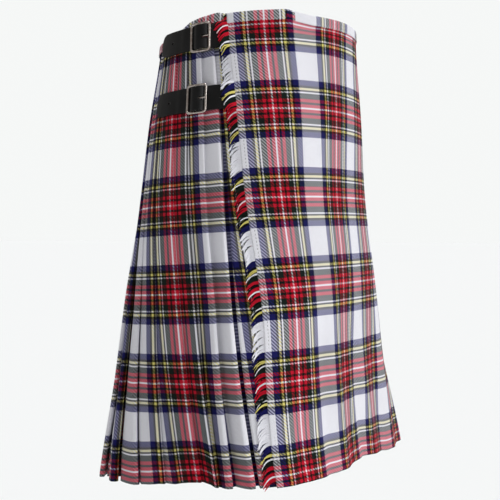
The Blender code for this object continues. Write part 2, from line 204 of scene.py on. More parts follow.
def ring(level):
    """One level of the form, in cm: arcs, points and outward directions, in metres."""
    row = {n: smooth(FORM[:, 0], FORM[:, k], level) for k, n in enumerate(FORM_COLUMNS)}
    turn = np.linspace(0.0, 2 * math.pi, RING_POINTS)
    side, front = np.abs(np.sin(turn)), np.abs(np.cos(turn))
    power = row["squareness"]
    radius = (side**power + front**power) ** (-1 / power)
    x = row["aside"] - row["half_width"] * radius * np.sin(turn)
    y = row["behind"] - row["half_depth"] * radius * np.cos(turn)
    z = -level + row["lean_side"] * x + row["lean_back"] * y
    points = np.stack([x, y, z], axis=1) * CM
    arcs = np.concatenate([[0.0], np.cumsum(np.linalg.norm(np.diff(points, axis=0), axis=1))])
    along = np.gradient(points, axis=0)
    along[0] = along[-1] = points[1] - points[-2]
    outward = np.stack([-along[:, 1], along[:, 0], np.zeros(len(turn))], axis=1)
    return arcs, points, outward / np.linalg.norm(outward, axis=1)[:, None]


print("girths in cm:", [round(ring(level)[0][-1] * 100, 1) for level in (0, 20, 40, 60.7)])

# %% [markdown]
# A Geometry Nodes tree can read another object's points by number. So the form is stored as a
# lattice: one row of points for each centimetre of drop, one column for each four millimetres
# of arc. A pattern point then finds its place from the four lattice points round it.

# %% Store the form as a lattice
FIRST_ARC, ARC_STEP, ARC_COUNT = -0.40, 0.004, 462
FIRST_DROP, DROP_STEP, DROP_COUNT = -0.02, 0.01, 66

form_arcs = FIRST_ARC + ARC_STEP * np.arange(ARC_COUNT)
form_places, form_outwards = [], []
for row in range(DROP_COUNT):
    arcs, points, outward = ring((FIRST_DROP + DROP_STEP * row) / CM)
    at = form_arcs % arcs[-1]
    for kept, values in ((form_places, points), (form_outwards, outward)):
        kept.append(np.stack([np.interp(at, arcs, values[:, k]) for k in range(3)], axis=1))
form_places, form_outwards = np.array(form_places), np.array(form_outwards)
level_drops = np.arange(0.0, LENGTH + MM, CM)
level_girths = np.array([ring(drop / CM)[0][-1] for drop in level_drops])

form_mesh = bpy.data.meshes.new("form")
form_mesh.from_pydata(form_places.reshape(-1, 3).tolist(), [], [])
outward_layer = form_mesh.attributes.new("outward", "FLOAT_VECTOR", "POINT")
outward_layer.data.foreach_set("vector", form_outwards.astype(np.float32).ravel())
form = new_object("form", form_mesh)
form.hide_render = True


def girth(drop):
    return np.interp(drop, level_drops, level_girths)


def on_form(arc, lift, drop):
    """The place in space of one pattern point, as a vector."""
    column, row = (arc - FIRST_ARC) / ARC_STEP, (drop - FIRST_DROP) / DROP_STEP
    c, r = int(column), int(row)
    s, t = column - c, row - r
    corners = ((0, 0, (1 - s) * (1 - t)), (0, 1, s * (1 - t)), (1, 0, (1 - s) * t), (1, 1, s * t))
    return Vector(sum(
        w * (form_places[r + i, c + j] + lift * form_outwards[r + i, c + j]) for i, j, w in corners
    ))


print("form lattice:", DROP_COUNT, "rows of", ARC_COUNT, "points")

# %% [markdown]
# ## Small helpers for node trees
#
# Geometry trees and materials are both made of nodes and links. A long sum takes a node for
# each sign in it, which is hard to read as links. So a `Field` stands for a node's output and
# knows the signs: `a * b + c` adds two Math nodes and gives the last one's output back.

# %% Add a node and fill its sockets
def plug(tree, socket, value):
    """Links a field or a socket, or sets a plain value."""
    value = getattr(value, "socket", value)
    if isinstance(value, bpy.types.NodeSocket):
        tree.links.new(value, socket)
    else:
        socket.default_value = value


def node(tree, kind, sockets=(), **settings):
    """Adds a node, sets its options, then fills its sockets from (name or number, value) pairs."""
    made = tree.nodes.new(kind)
    for key, value in settings.items():
        setattr(made, key, value)
    for key, value in sockets:
        plug(tree, made.inputs[key], value)
    return made


print("a node takes its options first, then its sockets")

# %% Sums of fields
class Field:
    """A node's output that can be used in a sum."""

    def __init__(self, tree, socket):
        self.tree, self.socket = tree, socket

    def maths(self, operation, *values):
        """A Math node of this field, then of the other values."""
        pairs = list(enumerate((self, *values)))
        return field(self.tree, "ShaderNodeMath", pairs, operation=operation)

    def __add__(self, other):
        return self.maths("ADD", other)

    def __sub__(self, other):
        return self.maths("SUBTRACT", other)

    def __rsub__(self, other):
        return (self * -1.0) + other

    def __mul__(self, other):
        return self.maths("MULTIPLY", other)

    def __truediv__(self, other):
        return self.maths("DIVIDE", other)

    def __mod__(self, other):
        return self.maths("FLOORED_MODULO", other)

    def within(self, low, high):
        return self.maths("MAXIMUM", low).maths("MINIMUM", high)


print("a field knows + - * / % and, by name, every other Math node")

# %% Fields that many trees use
def field(tree, kind, sockets=(), output=0, **settings):
    """As node, but gives one output as a Field."""
    return Field(tree, node(tree, kind, sockets, **settings).outputs[output])


def xyz(*values):
    tree = next(value.tree for value in values if isinstance(value, Field))
    return field(tree, "ShaderNodeCombineXYZ", list(enumerate(values)))


def ranged(value, low, high, to_low=0.0, to_high=1.0, shape="LINEAR"):
    pairs = list(enumerate((value, low, high, to_low, to_high)))
    return field(value.tree, "ShaderNodeMapRange", pairs, interpolation_type=shape)


def noise(tree, scale, detail=2.0, at=None):
    at = at or field(tree, "ShaderNodeTexCoord", output="Object")
    pairs = [("Vector", at), ("Scale", scale), ("Detail", detail)]
    return field(tree, "ShaderNodeTexNoise", pairs, "Fac")


def carried(tree, name, kind="FLOAT"):
    """An attribute that the points carry."""
    return field(tree, "GeometryNodeInputNamedAttribute", [("Name", name)], data_type=kind)


def moved_to(geometry, place):
    pairs = [("Geometry", geometry), ("Position", place)]
    return field(place.tree, "GeometryNodeSetPosition", pairs)


print("shared fields: xyz, ranged, noise, carried and moved_to")

# %% [markdown]
# A geometry tree has to end as plain faces, because an export drops instances. So every tree
# here ends in Realize Instances and Set Material. It is then run once: the modifier's inputs
# are set by their identifiers, the result is taken as a new mesh, and the modifier goes.

# %% Begin, end and run a tree
def new_tree(name, **kinds):
    """A geometry tree with named inputs, listed by kind. Returns it, its inputs and its output."""
    tree = bpy.data.node_groups.new(name, "GeometryNodeTree")
    new_socket = tree.interface.new_socket
    new_socket("Geometry", in_out="INPUT", socket_type="NodeSocketGeometry")
    for kind, labels in kinds.items():
        for label in labels.split(", "):
            new_socket(label, in_out="INPUT", socket_type="NodeSocket" + kind)
    new_socket("Geometry", in_out="OUTPUT", socket_type="NodeSocketGeometry")
    outputs = tree.nodes.new("NodeGroupInput").outputs
    given = {socket.name: Field(tree, socket) for socket in outputs if socket.name}
    return tree, given, tree.nodes.new("NodeGroupOutput").inputs[0]


def finish_tree(tree, geometry, given, output):
    """Ends a tree in Realize Instances and Set Material."""
    real = field(tree, "GeometryNodeRealizeInstances", [("Geometry", geometry)])
    pairs = [("Geometry", real), ("Material", given["Material"])]
    plug(tree, output, field(tree, "GeometryNodeSetMaterial", pairs))
    print(tree.name + ":", len(tree.nodes), "nodes")


def settled_mesh(piece):
    """The piece's mesh as its modifiers leave it."""
    ready = piece.evaluated_get(bpy.context.evaluated_depsgraph_get())
    mesh = bpy.data.meshes.new_from_object(ready)
    piece.modifiers.clear()
    return mesh


def run_trees(name, mesh, steps):
    """Runs a mesh through (tree, values) steps and returns the result as one plain object."""
    made = new_object(name, mesh)
    for tree, values in steps:
        modifier = made.modifiers.new(tree.name, "NODES")
        modifier.node_group = tree
        for socket in tree.interface.items_tree:
            if socket.in_out == "INPUT" and socket.name in values:
                modifier[socket.identifier] = values[socket.name]
    made.data = settled_mesh(made)
    made.data.name = name
    return made


print("tree helpers ready")

# %% [markdown]
# ## The tree that wraps a pattern on the form
#
# For each point the tree works out which lattice cell it falls in, samples the four corners by
# number and mixes them. Sample Index is the node that reads another mesh by number. Then it
# moves the point outwards by its lift. The same tree wraps every piece, so seams meet.

# %% Build the wrapping tree
wrap_tree, given, output = new_tree(
    "Wrap on the form", Object="Form", Int="Columns", Material="Material",
    Float="First arc, Arc step, First drop, Drop step",
)
form_geometry = field(wrap_tree, "GeometryNodeObjectInfo", [("Object", given["Form"])], "Geometry")
position = field(wrap_tree, "GeometryNodeInputPosition")
arc_in, lift_in, height_in = (
    field(wrap_tree, "ShaderNodeSeparateXYZ", [("Vector", position)], k) for k in range(3)
)
column = (arc_in - given["First arc"]) / given["Arc step"]
row_here = (height_in * -1.0 - given["First drop"]) / given["Drop step"]
corner = row_here.maths("FLOOR") * given["Columns"] + column.maths("FLOOR")


def blended(pair, share):
    pairs = [(0, share), (4, pair[0]), (5, pair[1])]
    return field(wrap_tree, "ShaderNodeMix", pairs, 1, data_type="VECTOR")


def sampled(value):
    """The value at the pattern point, mixed from the four lattice points round it."""
    rows = []
    for below in (0.0, 1.0):
        pair = []
        for beyond in (0.0, 1.0):
            index = given["Columns"] * below + corner + beyond
            pairs = [("Geometry", form_geometry), ("Value", value), ("Index", index)]
            kind = "GeometryNodeSampleIndex"
            pair.append(field(wrap_tree, kind, pairs, data_type="FLOAT_VECTOR"))
        rows.append(blended(pair, column.maths("FRACT")))
    return blended(rows, row_here.maths("FRACT"))


outwards = sampled(carried(wrap_tree, "outward", "FLOAT_VECTOR"))
pairs = [(0, outwards), (1, lift_in), (2, sampled(position))]
wrapped_place = field(wrap_tree, "ShaderNodeVectorMath", pairs, operation="MULTIPLY_ADD")
finish_tree(wrap_tree, moved_to(given["Geometry"], wrapped_place), given, output)


def wrap_step(material):
    """The (tree, values) step that wraps a pattern and paints it."""
    return wrap_tree, {
        "Form": form, "First arc": FIRST_ARC, "Arc step": ARC_STEP, "Columns": ARC_COUNT,
        "First drop": FIRST_DROP, "Drop step": DROP_STEP, "Material": material,
    }


# %% [markdown]
# ## The tartan
#
# A tartan is the same list of yarn colours used for the warp, the threads that run down, and
# the weft, the threads that run across. The list is read forwards and then backwards, so it
# mirrors at two pivots. This is a traditional white-ground dress sett. One full sett is about
# 11.5 cm.
#
# An image could hold the checks, but a procedural cloth is sharp at any size. A colour ramp
# with constant steps holds half a sett. The cloth's UV map counts setts: u counts across the
# warp and v counts down the weft. A ping-pong sum makes the mirror.

# %% The sett and its yarns
SETT_WIDE, SETT_LONG = 11.55 * CM, 11.48 * CM
HALF_SETT = (
    ("white", 1), ("red", 4), ("black", 3), ("red", 4), ("green", 7), ("white", 2),
    ("black", 2), ("yellow", 3), ("black", 3), ("navy", 7), ("white", 18),
)
YARNS = {
    # sRGB colour, then how strongly it darkens a paler thread beside it: painted shade, tinted by
    # its fuzz
    "white": (226, 226, 233, 0.0), "red": (182, 12, 38, 1.4), "black": (6, 5, 8, 1.4),
    "green": (9, 22, 17, 1.3), "yellow": (214, 204, 114, 0.4), "navy": (16, 16, 79, 1.15),
}


def linear(colour):
    """An sRGB colour of 0 to 255 as the linear colour that a shader wants."""
    shares = [v / 255 for v in colour[:3]]
    parts = [v / 12.92 if v < 0.04045 else ((v + 0.055) / 1.055) ** 2.4 for v in shares]
    return (*parts, 1.0)


def yarn_ramp(place):
    """The yarn's colour at a place counted in setts, and half its cover, the strength of its
    painted shade on a paler thread, as the alpha.
    """
    ramp = node(place.tree, "ShaderNodeValToRGB", [("Fac", place.maths("PINGPONG", 0.5) * 2.0)])
    stops = ramp.color_ramp
    stops.interpolation = "CONSTANT"
    total, start = sum(width for _, width in HALF_SETT), 0
    for yarn, width in HALF_SETT:
        stop = stops.elements.new(start / total) if start else stops.elements[0]
        stop.color = stops.elements[-1].color = linear(YARNS[yarn])[:3] + (YARNS[yarn][3] / 2,)
        start += width
    return Field(place.tree, ramp.outputs["Color"]), Field(place.tree, ramp.outputs["Alpha"])


print("half a sett of", sum(width for _, width in HALF_SETT), "threads,", len(YARNS), "yarns")

# %% [markdown]
# ### Twill
#
# Kilt wool is a two-over-two twill: each thread passes over two and under two, one step on in
# each row, which draws fine diagonals. Where red crosses white, red and white threads sit side
# by side and read as pink. So the material counts threads both ways, 101 to a sett, and lets
# the warp or the weft show by the remainder of that count. Each thread gets a rounded profile
# for its bump. The stripe's colour is read at the exact place, so that a stripe keeps its width.
#
# Wool is hairy, and a pale thread that lies among dark ones sits in their shade. So a thread is
# darkened with painted shade where the one that crosses it is darker, most of all in the hollow
# beside it, and that painted shade is tinted with the darker colour, as the dark hairs cover it
# too. A dark thread beside a pale one gets a little of its fuzz.
# The pleats use a copy whose half-tones get deeper painted shade, for the dimmer light on the
# pleats.

# %% The woven material
# the step in tone at which a darker crossing thread gives its full painted shade, the pale fuzz
# on a dark thread, the gamma that softens the darker yarn's tint in that painted shade, how far
# the painted shade reaches above the hump, and the threads in a sett
SUNK_AT, FUZZ, SHADE_TINT_GAMMA, HOLLOW_SHADE_TOP, PICKS = 0.1, 0.11, 0.64, 1.44, 101.0
# the least and most of the painted shade in a thread's hollows and painted highlight on its crown,
# and of the random tone from fibre to fibre and in broad patches
ROUND_SHADE, FIBRE_SHADE, PATCH_SHADE = (0.72, 1.10), (0.9, 1.08), (0.97, 1.03)
WOOL = (
    ("Roughness", 0.88), ("Specular IOR Level", 0.12),
    ("Sheen Weight", 0.03), ("Sheen Roughness", 0.5),
)


def mixed(share, first, second, blend="MIX", **settings):
    pairs = [(0, share), (6, first), (7, second)]
    tree = next(v.tree for v in (share, first) if isinstance(v, Field))
    return field(tree, "ShaderNodeMix", pairs, 2, data_type="RGBA", blend_type=blend, **settings)


def grey_of(value):
    return field(value.tree, "ShaderNodeCombineColor", [(k, value) for k in range(3)])


def bumped(shader, height, strength, distance):
    """Raises the shader's surface by a height field."""
    pairs = [("Height", height), ("Strength", strength), ("Distance", distance)]
    plug(height.tree, shader.inputs["Normal"], field(height.tree, "ShaderNodeBump", pairs))


def beside(above, below, hump, hollow_shade_gain):
    """A thread's colour: a darker neighbour darkens its hollows with painted shade tinted by its
    hairs, a paler one leaves fuzz on it.
    """
    tones = [
        field(hump.tree, "ShaderNodeRGBToBW", [("Color", colour)]).maths("SQRT")
        for colour, _ in (above, below)
    ]
    gap = (tones[0] - tones[1]) / SUNK_AT
    # painted shade: a pale thread is darkened where a darker one crosses it, most of all in its
    # hollow
    hollow_shade = gap.within(0.0, 1.0) * (below[1] * hollow_shade_gain) * (HOLLOW_SHADE_TOP - hump)
    kept = (1.0 - hollow_shade).maths("MAXIMUM", 0.0)
    shade_tint = field(hump.tree, "ShaderNodeGamma", [("Color", below[0]), ("Gamma", SHADE_TINT_GAMMA)])
    tinged = mixed(1.0, grey_of(kept), shade_tint, "ADD", clamp_result=True)
    return mixed((gap * -1.0).within(0.0, FUZZ), mixed(1.0, above[0], tinged, "MULTIPLY"), below[0])


def woven(name, fuzz=0.35, hollow_shade_gain=1.0):
    """A tartan twill that reads the UV map called cloth, counted in setts."""
    made, tree, shader = new_material(name, WOOL)
    cloth = node(tree, "ShaderNodeUVMap", uv_map="cloth").outputs[0]
    places = [field(tree, "ShaderNodeSeparateXYZ", [("Vector", cloth)], k) for k in (0, 1)]
    warp, weft = (yarn_ramp(place) for place in places)
    # the warp is on top for two steps of four, and the weft for the other two
    counts = [place * PICKS for place in places]
    step = (counts[0].maths("FLOOR") - counts[1].maths("FLOOR")) % 4.0
    over, step_in, rounds = step.maths("LESS_THAN", 1.5), step % 2.0, []
    # a thread is round across, and along its two steps it rises and sinks like an arch
    for wide, long, start in ((1, 0, step_in - 1.0), (0, 1, step_in * -1.0)):
        aside, ahead = counts[wide].maths("FRACT") * 2.0 - 1.0, counts[long].maths("FRACT") + start
        rounds.append((1.0 - aside * aside) * (1.0 - ahead * ahead).maths("SQRT"))
    hump = field(tree, "ShaderNodeMix", [(0, over), (2, rounds[0]), (3, rounds[1])])
    colour = mixed(over, beside(weft, warp, hump, hollow_shade_gain), beside(warp, weft, hump, hollow_shade_gain))
    fibres, patches = noise(tree, 900.0, 3.0), noise(tree, 9.0, 2.0)
    # painted shade and highlight over each thread's round, times random tone from fibres and
    # patches
    shade = ranged(hump, 0.0, 1.0, *ROUND_SHADE) * ranged(fibres, 0.3, 0.7, *FIBRE_SHADE)
    shade = shade * ranged(patches, 0.35, 0.65, *PATCH_SHADE)
    plug(tree, shader.inputs["Base Color"], mixed(1.0, colour, grey_of(shade), "MULTIPLY"))
    bumped(shader, fibres * fuzz + hump, 0.35, 0.25 * MM)
    return made


tartan = woven("tartan_twill", hollow_shade_gain=1.05)
# the pleats' copy: deeper painted shade in its half-tones, for the dimmer light on the pleats
shaded_pleat_tartan = woven("pressed_tartan_twill", hollow_shade_gain=1.5)
print("tartan:", int(PICKS), "threads to a sett, one every", round(SETT_WIDE / PICKS / MM, 2), "mm")

# %% [markdown]
# ## A sheet of cloth
#
# Every cloth piece starts as a lattice of pattern points with one UV map. Solidify then gives
# the sheet its thickness. `creases` adds the soft folds. Each row of a crease table is one
# trough or ridge: where it starts and ends, how wide it is and how deep.

# %% Sheets and creases
CLOTH = 1.2 * MM


def lattice(name, points, cloth):
    """A grid mesh from rows of pattern points, with its cloth coordinates as a UV map."""
    # each row is taken from its far end, so that the faces point outwards
    points, cloth = points[:, ::-1], cloth[:, ::-1]
    rows, columns = points.shape[:2]
    index = np.arange(rows * columns).reshape(rows, columns)
    corners = [index[:-1, :-1], index[:-1, 1:], index[1:, 1:], index[1:, :-1]]
    quads = np.stack(corners, axis=-1).reshape(-1, 4)
    mesh = bpy.data.meshes.new(name)
    mesh.from_pydata(points.reshape(-1, 3).tolist(), [], quads.tolist())
    layer = mesh.uv_layers.new(name="cloth")
    layer.data.foreach_set("uv", cloth.reshape(-1, 2)[quads.ravel()].astype(np.float32).ravel())
    mesh.shade_smooth()
    return mesh


def thicken(piece, thickness):
    wall = piece.modifiers.new("wall", "SOLIDIFY")
    wall.thickness = thickness
    wall.offset = 0.0
    return piece


def dress(piece, node_name):
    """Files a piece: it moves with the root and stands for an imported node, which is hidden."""
    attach(piece, "root")
    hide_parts(node_name)
    return piece


def creases(arc, drop, table):
    """The lift that a table of creases adds at each pattern point, in metres."""
    lift = np.zeros_like(arc)
    for arc_from, drop_from, arc_to, drop_to, width, depth in np.array(table) * CM:
        share = np.clip((drop - drop_from) / (drop_to - drop_from), 0.0, 1.0)
        middle = arc_from + (arc_to - arc_from) * share
        fade = np.sin(np.pi * share * (0.5 if drop_to >= LENGTH else 1.0))
        lift += depth * np.exp(-(((arc - middle) / width) ** 2)) * fade
    return lift


print("cloth is", CLOTH * 1000, "mm thick")

# %% [markdown]
# ## The aprons
#
# The outer apron is the flat front of the kilt. It ends in a fringe at the wearer's right hip.
# The under apron lies behind it and is seen only from inside.
#
# Cloth that hangs free doesn't keep to the form's arcs. Lower down, the apron slides round
# towards the fringe and its spare width goes into soft folds. Its rows of checks slip down and
# back up a little. Its waist is eased down at the front, and its hem is drawn up where it
# folds. Each of these is a small table of arcs and centimetres, read by straight interpolation.

# %% How the apron hangs
APRON_RIGHT, APRON_LEFT = 20.2 * CM, -20.6 * CM
UNDER_RIGHT, UNDER_LEFT, UNDER_LIFT = 18.5 * CM, -18.0 * CM, -4.1 * MM
PIVOT_ARC, PIVOT_DROP = 15.46 * CM, 1.69 * CM
EDGE_SLIDE, SLIDE_FROM, SLIDE_TO = 2.15 * CM, 35.0 * CM, 62.0 * CM
FOLD_SLIDE = ((-20, 0.9), (-6, 1.0), (0, 1.6), (5, 1.0), (10, 0.0))
SIDE_SLIDE = ((-20, 2.4), (-14, 2.3), (-8, 2.0), (-3, 1.0), (1, 0.0))
WAIST_EASE = (
    (-20.6, 0.2), (-14, 0.7), (-6, 0.85), (0, 0.8), (6, 0.8), (8.4, 0.75), (9.8, 0.58),
    (11.0, 0.4), (12.3, 0.12), (14.3, 0.2), (20.2, 0.3), (21.5, 0.0),
)
HEM_RISE = (
    (-20, 0.2), (-8, 0.3), (-2.6, 0.8), (2.4, 1.05), (7, 0.76), (10.8, 0.5), (14, 0.4),
    (18.6, 0.28), (22.1, 0.2), (28, 0.2), (29.6, 0.12), (30.6, 0.65), (32.3, 0.85),
    (34.2, 0.7), (36, 0.32), (37.7, 0.4), (39.5, 0.14), (41.5, 0.0),
)
ROW_SLIP = ((6, 0.0), (15, 0.28), (33, 0.25), (45, 0.0), (51, -0.2))


def read_table(table, arc):
    """A table of (cm, cm) rows, read at arcs in metres."""
    rows = np.array(table) * CM
    return np.interp(arc, rows[:, 0], rows[:, 1])


def eased(value, start, end):
    t = np.clip((value - start) / (end - start), 0.0, 1.0)
    return t * t * (3 - 2 * t)


def edge_slide(drop):
    return EDGE_SLIDE * eased(drop, SLIDE_FROM, SLIDE_TO)


def slide(arc, drop):
    """How far the cloth at this place has slid towards the fringe."""
    folded_in = read_table(FOLD_SLIDE, arc) * eased(drop, 30 * CM, 45 * CM)
    return edge_slide(drop) + folded_in + read_table(SIDE_SLIDE, arc)


def hem_raised(arc, drop):
    return read_table(HEM_RISE, arc) * eased(drop, 46 * CM, LENGTH)


def hung(arc, drop):
    """The drop of a cloth point once the waist is eased down and the hem is drawn up."""
    down = read_table(WAIST_EASE, arc) * (1 - eased(drop, 0.0, 4 * CM))
    return drop + down - hem_raised(arc, drop)


def cloth_place(arc, drop):
    """The apron's cloth coordinates: setts across, setts down."""
    slipped = drop - PIVOT_DROP + read_table(ROW_SLIP, drop)
    across = (PIVOT_ARC + slide(arc, drop) - arc) / SETT_WIDE
    return np.stack([across, slipped / SETT_LONG], axis=-1)


print("the edge slides", EDGE_SLIDE / CM, "cm between drops", SLIDE_FROM, "and", SLIDE_TO, "m")

# %% Cut and wrap the aprons
APRON_CREASES = (
    # arc from, drop from, arc to, drop to, width, depth: all in cm
    (9.5, 30.0, 12.6, 60.7, 1.3, -0.42),
    (7.2, 32.0, 8.6, 60.7, 1.5, 0.34),
    (3.4, 36.0, 1.4, 60.7, 1.3, -0.40),
    (0.4, 38.0, -2.2, 60.7, 1.5, 0.36),
    (-5.5, 34.0, -6.8, 60.7, 1.3, -0.34),
    (-9.5, 40.0, -11.5, 60.7, 1.6, 0.38),
    (16.5, 47.0, 18.6, 60.7, 1.2, -0.24),
    (-15.0, 42.0, -16.0, 60.7, 1.6, -0.20),
    (-17.5, 46.0, -18.5, 60.7, 2.6, 0.75),
    (12.2, -12.0, 11.2, 24.0, 1.0, 0.24),
    (9.2, -10.0, 8.0, 22.0, 1.4, -0.16),
    (-4.0, 2.0, -6.0, 24.0, 2.0, -0.10),
    (17.6, 8.0, 16.4, 26.0, 1.6, -0.10),
)
# two long ripples low on the cloth: radians of wave to a metre of arc, and height
RIPPLES = ((61, 0.8 * MM), (113, 0.6 * MM))


def make_apron(name, right_edge, left_edge, lift, slides, columns, rows):
    across, drop = np.meshgrid(np.linspace(0, 1, columns), np.linspace(0, LENGTH, rows))
    start = right_edge + slides * edge_slide(drop)
    arc = start + (left_edge - start) * across
    (slow, high), (quick, low) = RIPPLES
    waves = high * np.sin(arc * slow + 1.0) + low * np.sin(arc * quick + drop * 9)
    raised = lift + creases(arc, drop, APRON_CREASES) + eased(drop, 35 * CM, LENGTH) * waves
    points = np.stack([arc, raised, -hung(arc, drop)], axis=-1)
    made = run_trees(name, lattice(name, points, cloth_place(arc, drop)), [wrap_step(tartan)])
    print(name, "cut", round((right_edge - left_edge) / CM, 1), "x", round(LENGTH / CM, 1), "cm")
    return thicken(made, CLOTH)


outer_apron = make_apron("outer_apron_cloth", APRON_RIGHT, APRON_LEFT, 0.0, 1.0, 190, 180)
under_apron = make_apron("under_apron_cloth", UNDER_RIGHT, UNDER_LEFT, UNDER_LIFT, 0.0, 90, 90)
for piece, node_name, width in (
    (outer_apron, "outer_apron", APRON_RIGHT - APRON_LEFT),
    (under_apron, "under_apron", UNDER_RIGHT - UNDER_LEFT),
):
    dress(piece, node_name)

# %% [markdown]
# ## The knife pleats
#
# The back is one long sheet, folded into pleats that all point the same way. Each pleat shows
# a face, runs on under the next folded edge, turns back, and comes out again as that edge.
#
# The shape follows a rule, so a tree makes it. The lattice below carries each point's facts as
# attributes: where its fold's edge and the next edge are, how far apart the layers lie, and
# four shares that say where on the fold the point is. The tree turns those facts into arc and
# lift, with the fold's depth and the face's fullness as inputs.

# %% Where the folded edges run
PLEATS = 24
EDGE_LEVELS = np.array((0.0, 22.0, 38.0, 60.7)) * CM
FIRST_EDGES = np.array((
    (22.4, 23.1, 24.4, 25.45), (24.2, 25.4, 26.4, 28.2), (26.2, 27.9, 28.9, 29.9),
    (28.2, 30.2, 31.2, 32.1), (31.0, 33.6, 35.0, 37.3), (33.2, 36.2, 38.2, 41.6),
    (35.3, 39.0, 41.0, 45.8),
)) * CM
OPENNESS = np.array((1.9, 1.2, 0.7, 0.6, 0.6, 1.3, 1.8) + (1.0,) * (PLEATS - 7))
LAYER_DROPS = np.array((0.0, 20.0, 38.0, 60.7)) * CM
LAYER_GAPS = np.array((1.7, 1.7, 3.2, 4.8)) * MM
PLEAT_START, PLEAT_END, APRON_LAP = UNDER_RIGHT + 0.3 * MM, -19.2 * CM, 6.0 * MM


def fold_edges(drop):
    """The arcs of the folded edges at one level, and of the place where the last face ends."""
    first = [np.interp(drop, EDGE_LEVELS, row) for row in FIRST_EDGES]
    last = girth(drop) - first[0]
    rest = np.linspace(first[-1], last, PLEATS - len(first) + 1)[1:]
    settled = girth(drop) + APRON_LEFT - APRON_LAP
    return np.array([*first, *rest, max(settled, last + APRON_LAP)])


print("reveals at the hem in cm:", np.round(np.diff(fold_edges(LENGTH))[:8] / CM, 1))

# %% Which part of the cloth shows on each pleat
FIRST_SHOWN, NEXT_SHOWN = (0.53, 0.385, 0.196, 0.024, -0.208, -0.37, -1.30), -0.243
PLEAT_ZERO = (0.75, 22.1 * CM)

shown = list(FIRST_SHOWN)
while len(shown) < PLEATS:
    shown.append(shown[-1] + NEXT_SHOWN)
print("setts at the folded edges:", np.round(shown[:8], 2))

# %% The section of one fold, as a table
# share of the fold's depth, arc in layer gaps, lift in layer gaps, share of the face
TURN = [math.radians(a) for a in (20, 60, 90, 120, 160)]
INNER = [(depth, 0.0, -2.0, 0.0) for depth in (0.0, 0.55, 1.0)]
FACE = [(0.0, 0.0, 0.0, face) for face in (0.0, 0.05, 0.14, 0.3, 0.5, 0.7, 0.86)]
SECTION = (
    INNER
    + [(1.0, 0.5 * math.sin(a), -1.5 - 0.5 * math.cos(a), 0.0) for a in TURN[1:4]]
    + [(depth, 0.0, -1.0, 0.0) for depth in (1.0, 0.45)]
    + [(0.0, -0.5 * math.sin(a), -0.5 - 0.5 * math.cos(a), 0.0) for a in (0.0, *TURN[:4])]
    + FACE
)
print("points in one fold's section:", len(SECTION))

# %% [markdown]
# The pleats' top edge isn't level. From the apron's edge it dips 2 cm to the back, so the
# rows of checks near it dip as well, and run level again lower down.

# %% How the top edge dips
TOP_DROPS = np.array((
    (-90, 0.0), (0, 0), (21.5, 0), (24.0, 0.3), (25.6, 0.6), (27.4, 1.45), (29.2, 1.9),
    (32.0, 2.0), (90, 2.0),
)) * CM
TOP_FADE = 9.0 * CM


def top_drop(arc):
    """How far the top edge lies below the front's."""
    nearest = np.minimum(arc % level_girths[0], level_girths[0] - arc % level_girths[0])
    return np.interp(nearest, TOP_DROPS[:, 0], TOP_DROPS[:, 1])


def lowered(arc, level):
    """A level line's drop: it follows the top edge near it and is even lower down."""
    return level + top_drop(arc) * np.maximum(0.0, 1.0 - level / TOP_FADE)


print("the top edge dips", round(float(top_drop(level_girths[0] / 2)) / CM, 1), "cm at the back")

# %% The flat facts of a fold's points
FOLD_DEPTH, LAST_DEPTH = 0.68, 0.4
FACTS = ("edge", "reveal", "gap", "fall", "deep", "depth", "along", "out", "face", "level", "setts")


def plain_point(arc, level, gap, setts, lift=UNDER_LIFT):
    """A point of the flat strips at both ends, which lie at the under apron's depth."""
    return (arc, 1.0, gap, 0.0, 0.0, 0.0, 0.0, lift / gap, 0.0, level, setts)


def fold_points(k, edges, gap, level):
    gap = gap * OPENNESS[k]
    reveal, is_last = edges[k + 1] - edges[k], k == PLEATS - 1
    fall, deep = (-UNDER_LIFT, LAST_DEPTH / FOLD_DEPTH) if is_last else (2 * gap, 1.0)
    before, start = (shown[k - 1], edges[k - 1]) if k else PLEAT_ZERO
    for number, (depth, along, out, face) in enumerate(SECTION):
        away = depth * deep * FOLD_DEPTH * reveal
        if number < len(INNER):
            setts = before - (edges[k] + away - start) / SETT_WIDE
        elif number < len(SECTION) - len(FACE):
            round_turn = 0.5 * gap * math.acos(max(-1.0, min(1.0, 2 * out + 1)))
            setts = shown[k] + (away + round_turn) / SETT_WIDE
        else:
            setts = shown[k] - face * reveal / SETT_WIDE
        yield (edges[k], reveal, gap, fall, deep, depth, along, out, face, level, setts)


print("each point carries", ", ".join(FACTS))

# %% [markdown]
# Three strips make up a level: the flat strip under the apron's edge, the folds, and the flat
# strip that runs in under the apron on the far side. Below the right-hand straps the apron
# parts from the first fold. There the flat strip between them sinks behind the pleats, and its
# cloth jumps to a dark stripe of the sett as painted shade, so it shows as a dark gap. Above
# that it stays shallow and white.

# %% The rows of the pleat lattice
PLEAT_ROWS, PARTS_FROM, PARTS_TO = 96, 9.6 * CM, 14 * CM
# places in the sett that show beside the first fold: white above, and below the straps a dark
# stripe as painted shade in the gap
GAP_ABOVE, SHADED_GAP_SETT = 0.46, 0.3
# from the first fold's round along the arc, then how far in
FLAT_ENDS = (-9 * MM, -6.2 * MM)
GAP_POINTS = ((-5.8 * MM, -6 * MM), (-5.2 * MM, -12 * MM), (1 * MM, -12 * MM))


